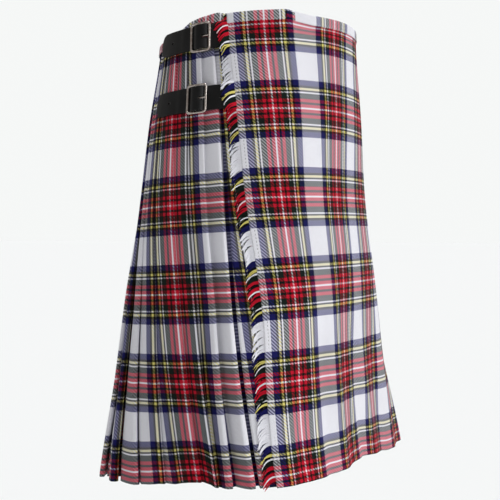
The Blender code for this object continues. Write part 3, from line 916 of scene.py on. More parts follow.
def pleat_level(level):
    """All the points of one level, from under the apron's right edge round to its left edge."""
    edges, gap = fold_edges(level), np.interp(level, LAYER_DROPS, LAYER_GAPS)
    zero, zero_arc = PLEAT_ZERO
    rounded = edges[0] - 0.5 * gap * OPENNESS[0]
    flat_ends = [rounded + end for end in FLAT_ENDS]
    for arc in (*np.linspace(PLEAT_START, APRON_RIGHT, 4), *flat_ends):
        yield plain_point(arc, level, gap, zero - (arc - zero_arc) / SETT_WIDE)
    parted, shallow = float(eased(level, PARTS_FROM, PARTS_TO)), -2 * gap * OPENNESS[0]
    # below the straps the gap sinks and its wall shows a dark stripe of the sett as painted shade
    for aside, sunk in GAP_POINTS:
        lift = shallow + (min(sunk, shallow) - shallow) * parted
        yield plain_point(rounded + aside, level, gap, SHADED_GAP_SETT if parted else GAP_ABOVE, lift)
    for k in range(PLEATS):
        yield from fold_points(k, edges, gap, level)
    for arc in np.linspace(edges[-1], girth(level) + PLEAT_END, 4):
        yield plain_point(arc, level, gap, shown[-1] - (arc - edges[-2]) / SETT_WIDE)


pleat_rows = np.array([list(pleat_level(level)) for level in np.linspace(0, LENGTH, PLEAT_ROWS)])
print("pleat lattice:", pleat_rows.shape[0], "rows of", pleat_rows.shape[1], "points")

# %% [markdown]
# The tree reads those facts as named attributes. Each input is one size: how deep the hidden
# folds run, how far a face bellies out, where the pleats come loose from their pressing, and
# how much their loose ends sway.

# %% Build the pleating tree
# where a face's bulge ends and how far it leans to the fold, the share of the belly that
# pressing leaves, and how fast the sway changes round the hips and down
BULGE_END, BULGE_LEAN, PRESSED_BELLY, SWAY_ROUND, SWAY_DOWN = 1.1, 0.6, 0.15, 17.0, 4.0
pleat_tree, given, output = new_tree(
    "Fold the pleats", Material="Material",
    Float="Fold depth, Belly, Loose from, Loose to, Sway, Seed",
)
edge, reveal, gap, fall, deep, depth, along, out, face, level = (
    carried(pleat_tree, name) for name in FACTS[:-1]
)
run = depth * (deep * given["Fold depth"] * reveal)
arc_here = edge + run + along * gap + face * reveal
loose = ranged(level, given["Loose from"], given["Loose to"], shape="SMOOTHSTEP")
bulge = (face * BULGE_END).maths("POWER", BULGE_LEAN) * math.pi
bulge = bulge.maths("SINE").maths("MAXIMUM", 0.0)
fullness = loose * (1 - PRESSED_BELLY) + PRESSED_BELLY
stray = noise(pleat_tree, 1.0, 1.0, xyz(edge * SWAY_ROUND, given["Seed"], level * SWAY_DOWN))
sway = (stray - 0.5) * given["Sway"]
lift_here = (
    out * gap - fall / reveal * (face * reveal + run)
    + bulge * given["Belly"] * fullness + sway * loose
)
position = field(pleat_tree, "GeometryNodeInputPosition")
height = field(pleat_tree, "ShaderNodeSeparateXYZ", [("Vector", position)], 2)
folded = moved_to(given["Geometry"], xyz(arc_here, lift_here, height))
finish_tree(pleat_tree, folded, given, output)

# %% Fold and wrap the pleats
fold = {name: pleat_rows[:, :, k] for k, name in enumerate(FACTS)}
flat_arcs = fold["depth"] * fold["deep"] * FOLD_DEPTH + fold["face"]
flat_arcs = fold["edge"] + flat_arcs * fold["reveal"]
drops = lowered(flat_arcs, fold["level"])
heights = hem_raised(flat_arcs, fold["level"]) - drops
pattern_points = np.stack([flat_arcs, np.zeros_like(flat_arcs), heights], axis=-1)
pleat_cloth = np.stack([fold["setts"], (drops - PIVOT_DROP) / SETT_LONG], axis=-1)
pleat_mesh = lattice("pleats_cloth", pattern_points, pleat_cloth)
for name in FACTS[:-1]:
    attribute = pleat_mesh.attributes.new(name, "FLOAT", "POINT")
    attribute.data.foreach_set("value", fold[name][:, ::-1].astype(np.float32).ravel())
pleat_values = {
    "Fold depth": FOLD_DEPTH, "Belly": 1.5 * MM, "Loose from": 14.0 * CM, "Loose to": 58.0 * CM,
    "Sway": 5.0 * MM, "Seed": 3.7, "Material": shaded_pleat_tartan,
}
pleat_steps = [(pleat_tree, pleat_values), wrap_step(shaded_pleat_tartan)]
pleats = run_trees("pleats_cloth", pleat_mesh, pleat_steps)
for name in FACTS[:-1]:
    pleats.data.attributes.remove(pleats.data.attributes[name])
thicken(pleats, CLOTH)


def opened_out(drop):
    """The length of the cloth at one level when every pleat is opened, in metres."""
    edges = fold_edges(drop)
    gaps = np.interp(drop, LAYER_DROPS, LAYER_GAPS) * OPENNESS
    reveals = np.diff(edges)
    deep = np.array([FOLD_DEPTH] * (PLEATS - 1) + [LAST_DEPTH]) * reveals
    strips = (edges[0] - PLEAT_START) + (girth(drop) + PLEAT_END - edges[-1])
    return float((reveals + 2 * deep + 1.4 * gaps * 2).sum() + strips)


pleat_widths = [opened_out(drop) for drop in np.linspace(0, LENGTH, 25)]
print("pleats opened out, in m:", round(pleat_widths[0], 2), "to", round(pleat_widths[-1], 2))
dress(pleats, "pleats")

# %% [markdown]
# ## The waist binding
#
# The raw top edge is bound with a tape cut from the same tartan. It is folded over the edge
# and sewn down on both faces. The section is drawn once, as heights and shares between the
# outer and the inner lift, and then swept round the waist. The tape is cut from the white
# block, so the weft is white all over its outer face.

# %% Draw the tape's section
TAPE, CLEAR, BINDING, BINDING_TOP = 1.0 * MM, 0.3 * MM, 11.0 * MM, 2.0 * MM
TAPE_LIFT = CLOTH / 2 + CLEAR + TAPE / 2
DOWN_SHARES = (0.0, 0.2, 0.45, 0.7, 0.93, 1.0)
TAPE_SECTION = (
    [(-BINDING * share, 0.0) for share in DOWN_SHARES[::-1]]
    + [
        (BINDING_TOP * math.sin(a), (1 - math.cos(a)) / 2)
        for a in np.linspace(0.35, math.pi - 0.35, 7)
    ]
    + [(-BINDING * share, 1.0) for share in DOWN_SHARES]
)
print("tape section:", len(TAPE_SECTION), "points")

# %% Sweep the tape round the waist
# its loose edge's small waves: their height, and how many radians to a metre; and the place
# in the sett that its outer edge is cut at
EDGE_CURL, CURL_WAVES, TAPE_CUT_AT = 0.12 * MM, 190.0, 0.56


def bound(name, arcs, outer, inner, spread, cloth_u, replaced):
    rows, cloth = [], []
    travelled, before = 0.0, None
    for height, share in TAPE_SECTION:
        wider = 1.0 + (spread - 1.0) * max(0.0, -height / BINDING)
        lift = outer + (inner - outer) * share
        curl = EDGE_CURL * np.sin(arcs * CURL_WAVES) * (height < -0.9 * BINDING)
        z = height - read_table(WAIST_EASE, arcs) - top_drop(arcs)
        rows.append(np.stack([arcs * wider, lift + curl, z], axis=-1))
        here = np.array([float(np.mean(lift)), height])
        travelled += 0.0 if before is None else float(np.linalg.norm(here - before))
        before = here
        down = np.full_like(arcs, TAPE_CUT_AT - travelled / SETT_LONG)
        cloth.append(np.stack([cloth_u, down], axis=-1))
    mesh = lattice(name, np.array(rows), np.array(cloth))
    made = thicken(run_trees(name, mesh, [wrap_step(tape_cloth)]), TAPE)
    dress(made, replaced)


tape_cloth = woven("binding_twill", fuzz=0.5)
front_arcs = np.linspace(APRON_LEFT, APRON_RIGHT, 150)
front_lifts = np.full_like(front_arcs, TAPE_LIFT)
front_setts = (PIVOT_ARC - front_arcs) / SETT_WIDE
bound(
    "binding_front_tape", front_arcs, front_lifts, -front_lifts, 1.0, front_setts,
    "binding_front",
)

# %% The tape over the pleats
BINDING_EASE, BACK_TAPE_ZERO, BACK_TAPE_SETT = 0.6 * MM, 23.05 * CM, SETT_WIDE * 0.9
waist = level_girths[0]
deepest = -2 * LAYER_GAPS[0] * (1 + FOLD_DEPTH)
first_fold, settled = FIRST_EDGES[0, 0], waist + APRON_LEFT - APRON_LAP
begins = (APRON_RIGHT + 5 * MM, first_fold - 4 * MM)
outer_turns = (*begins, waist - first_fold + 2 * MM, settled + 3 * MM)
inner_turns = (*begins, settled - 2 * MM, settled + 8 * MM)
back_arcs = np.linspace(UNDER_LEFT, waist + PLEAT_END, 380)
back_arcs = np.union1d(back_arcs, outer_turns + inner_turns)
outer_levels = (UNDER_LIFT, BINDING_EASE, BINDING_EASE, UNDER_LIFT)
outer_lifts = np.interp(back_arcs, outer_turns, outer_levels) + TAPE_LIFT
inner_levels = (UNDER_LIFT, deepest, deepest, UNDER_LIFT)
inner_lifts = np.interp(back_arcs, inner_turns, inner_levels) - TAPE_LIFT
tape_spread = float(girth(BINDING)) / waist
back_setts = (BACK_TAPE_ZERO - back_arcs) / BACK_TAPE_SETT
bound(
    "binding_back_tape", back_arcs, outer_lifts, inner_lifts, tape_spread, back_setts,
    "binding_back",
)

# %% [markdown]
# ## The fringe
#
# At the wearer's right the apron's edge is ravelled: the warp threads are drawn out of a
# narrow strip and the weft threads are left hanging. So each loose thread has the colour of
# its weft band. The threads cling together in small locks, pulled towards each lock's middle,
# and droop under their weight.
#
# A tree makes them all from one short line. It instances the line once for each thread, then
# bends every thread by its own drop, with noise for the locks. Curve to Mesh gives each one a
# three-sided body, because there are thousands.

# %% Build the fringe tree
fringe_tree, given, output = new_tree(
    "Ravel the edge", Int="Threads, Bends, Seed", Material="Material",
    Float="Edge arc, First drop, Last drop, Length, Lean, Locks, Lock, Cling, Droop, Radius, Lift, "
    "Fall, Crimp, Puff, Spread, Slide, Slide from, Slide to, Strap one, Strap two, Strap half, "
    "Strap rise",
)


def stray_noise(where, across, scale, detail=0.0):
    spot = xyz(where, across, given["Seed"] * 1.37)
    return noise(fringe_tree, scale, detail, spot) - 0.5


def ravel(kind, *pairs, output=0, **settings):
    """Adds a node to the fringe tree and gives one output."""
    return field(fringe_tree, kind, pairs, output, **settings)


line = ravel("GeometryNodeMeshLine", ("Count", given["Threads"]), mode="OFFSET")
share_down = ravel("GeometryNodeInputIndex") / (given["Threads"] - 1.0)
chance = ravel(
    "FunctionNodeRandomValue", (2, -0.5), (3, 0.5), ("Seed", given["Seed"]), output=1,
    data_type="FLOAT",
)
root_drop = share_down * (given["Last drop"] - given["First drop"]) + given["First drop"]
for label, value in (("root_drop", root_drop), ("chance", chance)):
    line = ravel(
        "GeometryNodeStoreNamedAttribute", ("Geometry", line), ("Name", label), ("Value", value),
        data_type="FLOAT", domain="POINT",
    )
straight = ravel("GeometryNodeCurvePrimitiveLine", ("End", (1.0, 0.0, 0.0)))
bendy = ravel("GeometryNodeResampleCurve", ("Curve", straight), ("Count", given["Bends"]))
copies = ravel("GeometryNodeInstanceOnPoints", ("Points", line), ("Instance", bendy))
threads = ravel("GeometryNodeRealizeInstances", ("Geometry", copies))
print("threads start as straight lines down the apron's edge")

# %% Bend each thread
# how a thread's luck and its neighbourhood change its length, the mean length, and its luck's
# part in its lean
LUCK_LENGTH, NEAR_LENGTH, MEAN_LENGTH, LUCK_LEAN = 0.45, 0.5, 0.9, 0.14
down_thread = ravel("GeometryNodeSplineParameter", output="Factor")
root, luck = carried(fringe_tree, "root_drop"), carried(fringe_tree, "chance")
lock_middle = given["Lock"] * 0.5 + root.maths("SNAP", given["Lock"])
lock = stray_noise(lock_middle * 3.0, 0.0, 210.0)
uneven = luck * LUCK_LENGTH + (stray_noise(root, 3.0, 26.0) * NEAR_LENGTH + MEAN_LENGTH)
gone = down_thread * (given["Length"] * uneven)
leaning = lock * given["Locks"] + (luck * LUCK_LEAN + given["Lean"])
angle = down_thread * given["Droop"] + leaning
slid = ranged(root, given["Slide from"], given["Slide to"], 0.0, given["Slide"], "SMOOTHSTEP")
thread_arc = gone * angle.maths("COSINE") + (given["Edge arc"] + slid)
crimp = stray_noise(root * 40.0, down_thread * 0.9, 3.0, 1.0) * down_thread * given["Crimp"]
pulled = down_thread * given["Cling"] * (lock_middle - root)
thread_drop = pulled + (crimp + (gone * angle.maths("SINE") + root))
print("each thread reaches out, leans and droops")

# %% Lay the threads over the straps
STRAP_EASE, CLIMB = 5 * MM, 6 * MM
near = [(thread_drop - given[name]).maths("ABSOLUTE") for name in ("Strap one", "Strap two")]
beyond = near[0].maths("MINIMUM", near[1]) - given["Strap half"]
over_strap = ranged(beyond, 0.0, STRAP_EASE, 1.0, 0.0, "SMOOTHSTEP")
climb = ranged(gone, 0.0, CLIMB, shape="SMOOTHSTEP")
settled_by = climb * (given["Fall"] * (1.0 - over_strap))
puff = stray_noise(root * 60.0, down_thread, 4.0) * (down_thread * given["Puff"])
thread_lift = over_strap * climb * given["Strap rise"] + (given["Lift"] + puff)
thread_lift = luck * given["Spread"] + (thread_lift - settled_by)
bent = moved_to(threads, xyz(thread_arc, thread_lift, thread_drop * -1.0))
profile = ravel(
    "GeometryNodeCurvePrimitiveCircle", ("Resolution", 3), ("Radius", given["Radius"]),
)
bodies = ravel(
    "GeometryNodeCurveToMesh", ("Curve", bent), ("Profile Curve", profile), ("Fill Caps", True),
)
finish_tree(fringe_tree, bodies, given, output)

# %% Colour the loose threads by their weft
LOOSE_WOOL = (("Roughness", 0.9), ("Specular IOR Level", 0.2))
thread_wool, tree, shader = new_material("ravelled_threads", LOOSE_WOOL)
root_place = field(tree, "ShaderNodeAttribute", output="Fac", attribute_name="root_drop")
thread_colour, _ = yarn_ramp((root_place - PIVOT_DROP) / SETT_LONG)
# the threads are brightened above their yarn's colour, a painted light against the shade among
# them, with a random tone from thread to thread
painted_light_and_tone = ranged(noise(tree, 700.0), 0.3, 0.7, 1.1, 1.27)
plug(tree, shader.inputs["Base Color"], mixed(1.0, thread_colour, grey_of(painted_light_and_tone), "MULTIPLY"))
print("loose threads take", len(YARNS), "weft colours")

# %% Ravel the apron's edge
STRAP_WIDTH, UPPER_DROP, LOWER_DROP = 31.6 * MM, 2.9, 11.0
ON_BINDING = CLOTH / 2 + CLEAR + TAPE + BINDING_EASE + 0.5 * MM
FASTENINGS = (
    # name, buckle arc, drop, tip arc: cm, then what it lies on, its tip and its holes: cm
    ("right_upper", 23.7, UPPER_DROP, 31.6, ON_BINDING, "round", (28.6,)),
    ("right_lower", 25.2, LOWER_DROP, 32.8, CLOTH / 2, "blunt", (22.0, 29.9)),
    ("left", -23.7, UPPER_DROP, -31.6, ON_BINDING, "round", (28.6,)),
)
fringe_values = {
    "Threads": 3600, "Bends": 6, "Edge arc": APRON_RIGHT - 1.0 * MM, "First drop": 2.0 * MM,
    "Last drop": LENGTH - 10.0 * MM, "Length": 17.5 * MM, "Lean": math.radians(4), "Locks": 0.8,
    "Lock": 3.1 * MM, "Cling": 0.3, "Droop": math.radians(26), "Crimp": 0.003, "Puff": 0.0016,
    "Spread": 0.0008, "Slide": EDGE_SLIDE, "Slide from": SLIDE_FROM, "Slide to": SLIDE_TO,
    "Radius": 0.36 * MM, "Lift": 0.2 * MM, "Fall": 2.6 * MM, "Strap one": UPPER_DROP * CM,
    "Strap two": LOWER_DROP * CM, "Strap half": STRAP_WIDTH / 2, "Strap rise": 3.9 * MM,
    "Seed": 4, "Material": thread_wool,
}
no_points = bpy.data.meshes.new("fringe_threads")
fringe_steps = [(fringe_tree, fringe_values), wrap_step(thread_wool)]
fringe = run_trees("fringe_threads", no_points, fringe_steps)
dress(fringe, "fringe")
print("fringe:", len(fringe.data.polygons), "faces, box", [round(v, 3) for v in fringe.dimensions])

# %% [markdown]
# ## Straps and buckles
#
# Two straps close the kilt at the right hip and one at the left. Each comes out from under
# the apron, goes under the buckle's near bar, over its middle bar, and under the far bar. It
# is drawn as a path seen from above, as arcs and lifts, and its width is added square to it.
# Solidify and Bevel then make it leather.

# %% Leather
leather, tree, shader = new_material("black_strap_leather", [("Specular IOR Level", 0.3)])
rub, spot = noise(tree, 60.0, 3.0), field(tree, "ShaderNodeTexCoord", output="Object")
pairs = [("Vector", spot), ("Scale", 900.0)]
pebble = field(tree, "ShaderNodeTexVoronoi", pairs, "Distance")
blacks = (linear((4, 4, 5)), linear((11, 11, 14)))
plug(tree, shader.inputs["Base Color"], mixed(ranged(rub, 0.45, 0.75), *blacks))
plug(tree, shader.inputs["Roughness"], ranged(rub, 0.3, 0.7, 0.34, 0.5))
bumped(shader, noise(tree, 160.0, 4.0) * 0.8 + pebble, 0.3, 0.2 * MM)
print("leather ready")

# %% Steel
steel, tree, shader = new_material("nickel_plate", [("Metallic", 1.0)])
dull = noise(tree, 220.0, 3.0)
greys = ((0.72, 0.67, 0.63, 1), (0.38, 0.31, 0.27, 1))
plug(tree, shader.inputs["Base Color"], mixed(ranged(dull, 0.35, 0.65), *greys))
plug(tree, shader.inputs["Roughness"], ranged(dull, 0.3, 0.7, 0.22, 0.4))
print("steel ready")

# %% A buckle's own axes
FRAME_WIDTH, FRAME_HEIGHT, FRAME_BAR = 30 * MM, 39.5 * MM, 3 * MM
FRAME_THICK, FRAME_STAND = 2.2 * MM, 5.3 * MM
STRAP, TAB, PRONG, SLOT, STRAP_CLEAR = 2.0 * MM, 1.0 * MM, 0.9 * MM, 3.6 * MM, 0.6 * MM


def buckle_axes(way, middle, drop):
    """Unit vectors along the strap to its tip, across it and outward, then the cloth's rise."""
    reach = STRAP_WIDTH / 2
    along = on_form(middle + way * reach, 0.0, drop) - on_form(middle - way * reach, 0.0, drop)
    along.normalize()
    rise = on_form(middle, 0.0, drop - reach) - on_form(middle, 0.0, drop + reach)
    outward = way * rise.cross(along).normalized()
    return along, outward.cross(along), outward, rise


def buckle_place(way, middle, drop, ground):
    turned = Matrix(buckle_axes(way, middle, drop)[:3]).transposed().to_4x4()
    return Matrix.Translation(on_form(middle, ground + FRAME_STAND, drop)) @ turned


def skew(way, middle, drop):
    """The arc to add for each step up, so that a strap's edge is square to it."""
    along, _, _, rise = buckle_axes(way, middle, drop)
    return -way * rise.dot(along) / STRAP_WIDTH


print("buckle axes ready")

# %% Cut a leather piece
EDGE_ROUND, EDGE_STEPS = 0.28, 2
# each row is a distance from the tip in mm, then the share of the full width there
TIP_SHAPES = {
    "round": (
        (0.0, 0.08), (0.6, 0.26), (1.8, 0.47), (3.8, 0.68), (6.5, 0.85), (10.0, 0.955), (15.0, 1.0),
    ),
    "blunt": (
        (0.0, 0.08), (0.6, 0.18), (1.7, 0.34), (3.2, 0.54), (5.0, 0.76), (7.0, 0.93), (9.0, 1.0),
    ),
}


def refined(path, step, counted=(0,)):
    """The path with a point at least every step, measured over these of its coordinates."""
    fine = [path[0]]
    for start, end in zip(path[:-1], path[1:]):
        count = max(1, math.ceil(math.hypot(*(end[k] - start[k] for k in counted)) / step))
        for k in range(1, count + 1):
            fine.append(tuple(a + (b - a) * k / count for a, b in zip(start, end)))
    return fine


def leather_piece(name, way, middle, drop, path, half, thickness, tip, open_from, open_to):
    """A strip swept along a path of (arc, lift), open in its middle between two arcs."""
    edge_side = np.linspace(SLOT / 2 / half, 1, 7)
    across = np.concatenate([-edge_side[::-1], [0.0], edge_side])
    slant, end, rows = skew(way, middle, drop), path[-1][0], []
    shape = bmesh.new()
    for arc, lift in path:
        narrow = float(np.interp((end - arc) / MM, *zip(*TIP_SHAPES[tip]))) if tip else 1.0
        places = [on_form(way * arc + slant * z, lift, drop - z) for z in across * half * narrow]
        rows.append([shape.verts.new(place) for place in places])
    for (arc, _), (next_arc, _), row, next_row in zip(path, path[1:], rows, rows[1:]):
        for c in range(len(across) - 1):
            if open_from < (arc + next_arc) / 2 < open_to and c in (6, 7):
                continue
            shape.faces.new((row[c], row[c + 1], next_row[c + 1], next_row[c]))
    loose_points = [v for v in shape.verts if not v.link_faces]
    bmesh.ops.delete(shape, geom=loose_points, context="VERTS")
    if way > 0:
        bmesh.ops.reverse_faces(shape, faces=shape.faces)
    mesh = mesh_of(shape, name)
    mesh.shade_smooth()
    mesh.materials.append(leather)
    made = thicken(new_object(name, mesh), thickness)
    soft_edge = made.modifiers.new("rounded", "BEVEL")
    soft_edge.width, soft_edge.segments = thickness * EDGE_ROUND, EDGE_STEPS
    soft_edge.limit_method, soft_edge.angle_limit = "ANGLE", math.radians(50)
    return made


print("tips:", ", ".join(TIP_SHAPES))

# %% Punch the straps
HOLE, DRILL_LENGTH = 1.5 * MM, 30 * MM


def punched(piece, drop, arcs):
    """Cuts round holes through a strap at these arcs."""
    drills = []
    for arc in arcs:
        drill = bmesh.new()
        sizes = {"radius1": HOLE, "radius2": HOLE, "depth": DRILL_LENGTH}
        bmesh.ops.create_cone(drill, cap_ends=True, segments=20, **sizes)
        outward = (on_form(arc, 0.02, drop) - on_form(arc, 0.0, drop)).normalized()
        turned = outward.to_track_quat("Z", "Y").to_matrix().to_4x4()
        drill.transform(Matrix.Translation(on_form(arc, 0.0, drop)) @ turned)
        drills.append(new_object("drill", mesh_of(drill, "drill")))
        hole = piece.modifiers.new("hole", "BOOLEAN")
        hole.object, hole.solver = drills[-1], "EXACT"
    piece.data = settled_mesh(piece)
    piece.data.name = piece.name
    for drill in drills:
        bpy.data.objects.remove(drill, do_unlink=True)


print("drill ready")

# %% Make the straps and tabs
STRAP_ROUTE = (
    # mm past the buckle's middle, the level it is counted from, mm above that level
    (-16.0, "cloth", 0.3), (-13.5, "cloth", 0.8), (-11.0, "below", -0.1), (-8.9, "below", 2.9),
    (-6.4, "hump", -1.6), (-4.2, "hump", 0.0), (-1.0, "hump", 0.3), (2.4, "hump", 0.0),
    (6.0, "hump", -2.2), (9.4, "below", 0.6), (13.5, "below", -0.1), (18.0, "tab", 0.0),
    (27.0, "tab", 0.0), (34.0, "resting", 0.0),
)
TIP_STEPS = (15.0, 9.0, 6.0, 3.5, 1.6, 0.0)
# where the slot for the prong and the tab's window run, past the buckle's middle
STRAP_SLOT, TAB_WINDOW = (-11.1 * MM, -4.3 * MM), (-9 * MM, 4.9 * MM)
HUMP_RISE, SEWN_AT = 4.6 * MM, {1: APRON_RIGHT - 12 * MM, -1: -APRON_LEFT - 14 * MM}


def strap_path(centre, end, root_arc, first, ground):
    """The strap's path, from its sewn end under the apron to its tip."""
    frame_lift, half = ground + FRAME_STAND, STRAP / 2
    tucked = -CLOTH / 2 - CLEAR - 0.3 * MM - half
    levels = {
        "cloth": CLOTH / 2 + STRAP_CLEAR + half, "hump": frame_lift + HUMP_RISE,
        "below": frame_lift - FRAME_THICK / 2 - CLEAR - half,
        "tab": ground + 2 * CLEAR + TAB + half, "resting": ground + STRAP_CLEAR + half,
    }
    path = [(root_arc, tucked), (root_arc + 16 * MM, tucked)]
    path += [(root_arc + 19 * MM, tucked + 0.6 * MM), (first - 5 * MM, levels["cloth"])]
    for ahead, level, above in STRAP_ROUTE:
        path.append((centre + ahead * MM, levels[level] + above * MM))
    return path + [(end - back * MM, levels["resting"]) for back in TIP_STEPS]


def tab_path(centre, ground):
    """The tab's path: flat on the cloth, then round the buckle's middle bar."""
    frame_lift, flat_lift = ground + FRAME_STAND, ground + CLEAR + TAB / 2
    bar = FRAME_THICK / 2 + CLEAR + TAB / 2 + 0.05 * MM
    half_bar, side = FRAME_BAR / 2, FRAME_BAR / 2 + CLEAR + TAB / 2 + 0.15 * MM
    return [
        (centre + 26 * MM, flat_lift), (centre + 15 * MM, flat_lift),
        (centre + 5 * MM, flat_lift + 0.1 * MM), (centre + 1 * MM, frame_lift - bar),
        (centre - half_bar, frame_lift - bar), (centre - side, frame_lift - bar * 0.45),
        (centre - side, frame_lift + bar * 0.45), (centre - half_bar, frame_lift + bar),
        (centre + half_bar, frame_lift + bar), (centre + side + 1 * MM, frame_lift + bar * 0.35),
    ]


for name, middle, drop, tip, ground, tip_shape, holes in FASTENINGS:
    way, middle, drop = (1 if middle > 0 else -1), middle * CM, drop * CM
    centre, end, root_arc = abs(middle), abs(tip * CM), SEWN_AT[way]
    path = strap_path(centre, end, root_arc, float(fold_edges(drop)[0]), ground)
    strap = leather_piece(
        "strap_" + name + "_leather", way, middle, drop, refined(path, 3.0 * MM),
        STRAP_WIDTH / 2, STRAP, tip_shape, *(centre + ahead for ahead in STRAP_SLOT),
    )
    punched(strap, drop, [way * arc * CM for arc in holes])
    tab = leather_piece(
        "tab_" + name + "_leather", way, middle, drop, refined(tab_path(centre, ground), 4.0 * MM),
        STRAP_WIDTH / 2 - 1 * MM, TAB, None, *(centre + ahead for ahead in TAB_WINDOW),
    )
    dress(strap, "strap_" + name)
    dress(tab, "tab_" + name)
    print(name, "strap:", round((end - root_arc) / MM), "mm,", len(strap.data.polygons), "faces")

# %% [markdown]
# ## Buckle frames and prongs
#
# A roller-less buckle is one casting: a rounded frame with a middle bar. It is drawn flat as
# a curve with two windows, then extruded and bevelled, which is what rounds the bars. The
# prong is bent wire. It hooks round the middle bar and rests on the near bar.

# %% Cast the frames
FRAME_SOFT, OUTER_CORNER, WINDOW_CORNER = 0.85 * MM, 4 * MM, 2.4 * MM


def add_spline(curve, places, cyclic=False):
    spline = curve.splines.new("POLY")
    spline.points.add(len(places) - 1)
    for point, place in zip(spline.points, places):
        point.co = (*place, 1.0)
    spline.use_cyclic_u = cyclic


def rounded_rectangle(curve, x, width, height, corner, steps=6):
    places = []
    for quarter, (sx, sy) in enumerate(((1, 1), (-1, 1), (-1, -1), (1, -1))):
        cx, cy = x + sx * (width / 2 - corner), sy * (height / 2 - corner)
        for step in range(steps + 1):
            turn = math.pi / 2 * (quarter + step / steps)
            places.append((cx + corner * math.cos(turn), cy + corner * math.sin(turn), 0.0))
    add_spline(curve, places, cyclic=True)


def metal_piece(name, curve, fastening, replaced):
    """Turns a curve drawn at the origin into a steel piece on one fastening's buckle."""
    _, middle, drop, _, ground, _, _ = fastening
    curve.materials.append(steel)
    drawn = new_object(name + "_drawn", curve)
    mesh = settled_mesh(drawn)
    bpy.data.objects.remove(drawn, do_unlink=True)
    mesh.transform(buckle_place(1 if middle > 0 else -1, middle * CM, drop * CM, ground))
    mesh.shade_smooth()
    mesh.name = name
    dress(new_object(name, mesh), replaced)
    print(name, len(mesh.polygons), "faces")


for fastening in FASTENINGS:
    curve = bpy.data.curves.new("frame", "CURVE")
    curve.dimensions, curve.fill_mode = "2D", "BOTH"
    curve.extrude, curve.bevel_depth = FRAME_THICK / 2 - FRAME_SOFT, FRAME_SOFT
    curve.bevel_resolution = 2
    grown, window = 2 * FRAME_SOFT, (FRAME_WIDTH - 3 * FRAME_BAR) / 2
    rounded_rectangle(curve, 0.0, FRAME_WIDTH - grown, FRAME_HEIGHT - grown, OUTER_CORNER)
    tall = FRAME_HEIGHT - 2 * FRAME_BAR + grown
    for side in (-1, 1):
        window_at = side * (window + FRAME_BAR) / 2
        rounded_rectangle(curve, window_at, window + grown, tall, WINDOW_CORNER)
    metal_piece("buckle_" + fastening[0], curve, fastening, "buckle_frame_" + fastening[0])

# %% Bend the prongs
out, back = FRAME_THICK / 2 + CLEAR + PRONG, FRAME_BAR / 2 + CLEAR + PRONG
near_bar = -(FRAME_WIDTH - FRAME_BAR) / 2
# along the strap, then away from it
WIRE = (
    (-0.6 * MM, -out), (back * 0.45, -out * 0.98), (back * 0.82, -out * 0.75),
    (back, -out * 0.3), (back, out * 0.3), (back * 0.82, out * 0.75), (back * 0.4, out * 0.98),
    (-0.5 * MM, out), (near_bar * 0.3, out + 0.1 * MM), (near_bar * 0.6, out + 0.1 * MM),
    (near_bar * 0.85, out + 0.05 * MM), (near_bar - 0.8 * MM, out),
)
for fastening in FASTENINGS:
    curve = bpy.data.curves.new("wire", "CURVE")
    curve.dimensions, curve.use_fill_caps = "3D", True
    curve.bevel_depth, curve.bevel_resolution = PRONG, 3
    add_spline(curve, [(ahead, 0.0, away) for ahead, away in WIRE])
    metal_piece("wire_" + fastening[0], curve, fastening, "prong_" + fastening[0])

# %% [markdown]
# ## Stitches
#
# Sewing holds a kilt's shape. One row runs down the apron's edge, where the cloth is turned
# back behind the fringe, and one runs along the lower edge of the binding, front and back.
#
# A stitch is a length of thread that dips in and out of the cloth, so a row is one short
# capsule repeated at an even pitch. Each seam is drawn as a line in pattern space. The tree
# sets a point on it at every pitch, turns a capsule along it, and a little chance slants each
# one, as no needle goes in twice the same way. The wrapping tree then lays the row on the form.

# %% Build the stitching tree
stitch_tree, given, output = new_tree(
    "Stitch a seam", Float="Pitch, Share, Thread, Slant", Int="Seed", Material="Material",
)
seam_curve = field(stitch_tree, "GeometryNodeMeshToCurve", [("Mesh", given["Geometry"])])
pairs = [("Curve", seam_curve), ("Length", given["Pitch"])]
spots = node(stitch_tree, "GeometryNodeCurveToPoints", pairs, mode="LENGTH").outputs
size = xyz(given["Thread"], given["Thread"], given["Pitch"] * given["Share"] * 0.5)
pairs = [("Segments", 6), ("Rings", 5), ("Radius", 1.0)]
capsule = field(stitch_tree, "GeometryNodeMeshUVSphere", pairs)
pairs = [(key, spots[key]) for key in ("Points", "Rotation")]
pairs += [("Instance", capsule), ("Scale", size)]
sewn = field(stitch_tree, "GeometryNodeInstanceOnPoints", pairs)
least, most = xyz(0.0, given["Slant"] * -1.0, 0.0), xyz(0.0, given["Slant"], 0.0)
pairs = [("Min", least), ("Max", most), ("Seed", given["Seed"])]
slant = field(stitch_tree, "FunctionNodeRandomValue", pairs, data_type="FLOAT_VECTOR")
pairs = [("Instances", sewn), ("Rotation", slant)]
finish_tree(stitch_tree, field(stitch_tree, "GeometryNodeRotateInstances", pairs), given, output)

# %% Sew the seams
PALE_THREAD = (("Base Color", linear((196, 196, 200))), ("Roughness", 0.7))
WAXED_THREAD = (("Base Color", linear((30, 29, 31))), ("Roughness", 0.6))
sewing_thread = new_material("sewing_thread", PALE_THREAD)[0]
dark_thread = new_material("waxed_thread", WAXED_THREAD)[0]
PROUD, EDGE_SEAM_IN, TAPE_SEAM_DROP, STITCH_FACES = 0.1 * MM, 5.5 * MM, BINDING - 1.4 * MM, 30


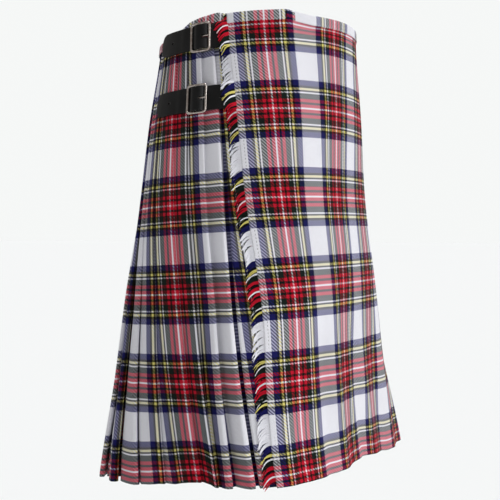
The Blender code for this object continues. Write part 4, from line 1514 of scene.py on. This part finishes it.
def sew(name, paths, pitch, share, thread, material):
    """Sews along lines of (arc, lift, drop) points."""
    points, edges = [], []
    for path in paths:
        line = refined(path, 4 * MM, counted=(0, 2))
        edges += [(len(points) + k, len(points) + k + 1) for k in range(len(line) - 1)]
        points += [(arc, lift, -drop) for arc, lift, drop in line]
    mesh = bpy.data.meshes.new(name)
    mesh.from_pydata(points, edges, [])
    values = {
        "Pitch": pitch, "Share": share, "Thread": thread, "Slant": 0.16, "Seed": 11,
        "Material": material,
    }
    made = run_trees(name, mesh, [(stitch_tree, values), wrap_step(material)])
    made.data.shade_smooth()
    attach(made, "root")
    print(name, len(made.data.polygons) // STITCH_FACES, "stitches")


edge_row = []
for drop in np.arange(1.6, 59.0, 0.6) * CM:
    arc = APRON_RIGHT - EDGE_SEAM_IN + edge_slide(drop)
    raised = float(creases(np.array([arc]), np.array([drop]), APRON_CREASES)[0])
    edge_row.append((arc, raised + CLOTH / 2 + PROUD, float(hung(arc, drop))))
sew("apron_edge_stitches", [edge_row], 4.6 * MM, 0.55, 0.28 * MM, dark_thread)

arcs = np.linspace(APRON_LEFT + 3 * MM, APRON_RIGHT - 3 * MM, 90)
lifts = np.full_like(arcs, TAPE_LIFT + TAPE / 2 + PROUD)
front_row = list(zip(arcs, lifts, TAPE_SEAM_DROP + read_table(WAIST_EASE, arcs)))
arcs = np.linspace(first_fold + 2 * MM, waist - first_fold - 2 * MM, 220)
lifts = np.interp(arcs, back_arcs, outer_lifts) + TAPE / 2 + PROUD
drops = TAPE_SEAM_DROP + read_table(WAIST_EASE, arcs) + top_drop(arcs)
spread_here = 1.0 + (tape_spread - 1.0) * TAPE_SEAM_DROP / BINDING
back_row = list(zip(arcs * spread_here, lifts, drops))
sew("binding_stitches", [front_row, back_row], 3.6 * MM, 0.6, 0.26 * MM, sewing_thread)

# %% [markdown]
# ## Finish
#
# The dressed kilt must stay inside the imported model's box, apart from a little room for cloth
# that stands proud. The last cell removes the form, which the pieces were wrapped on.

# %% Remove the form
bpy.data.objects.remove(form, do_unlink=True)
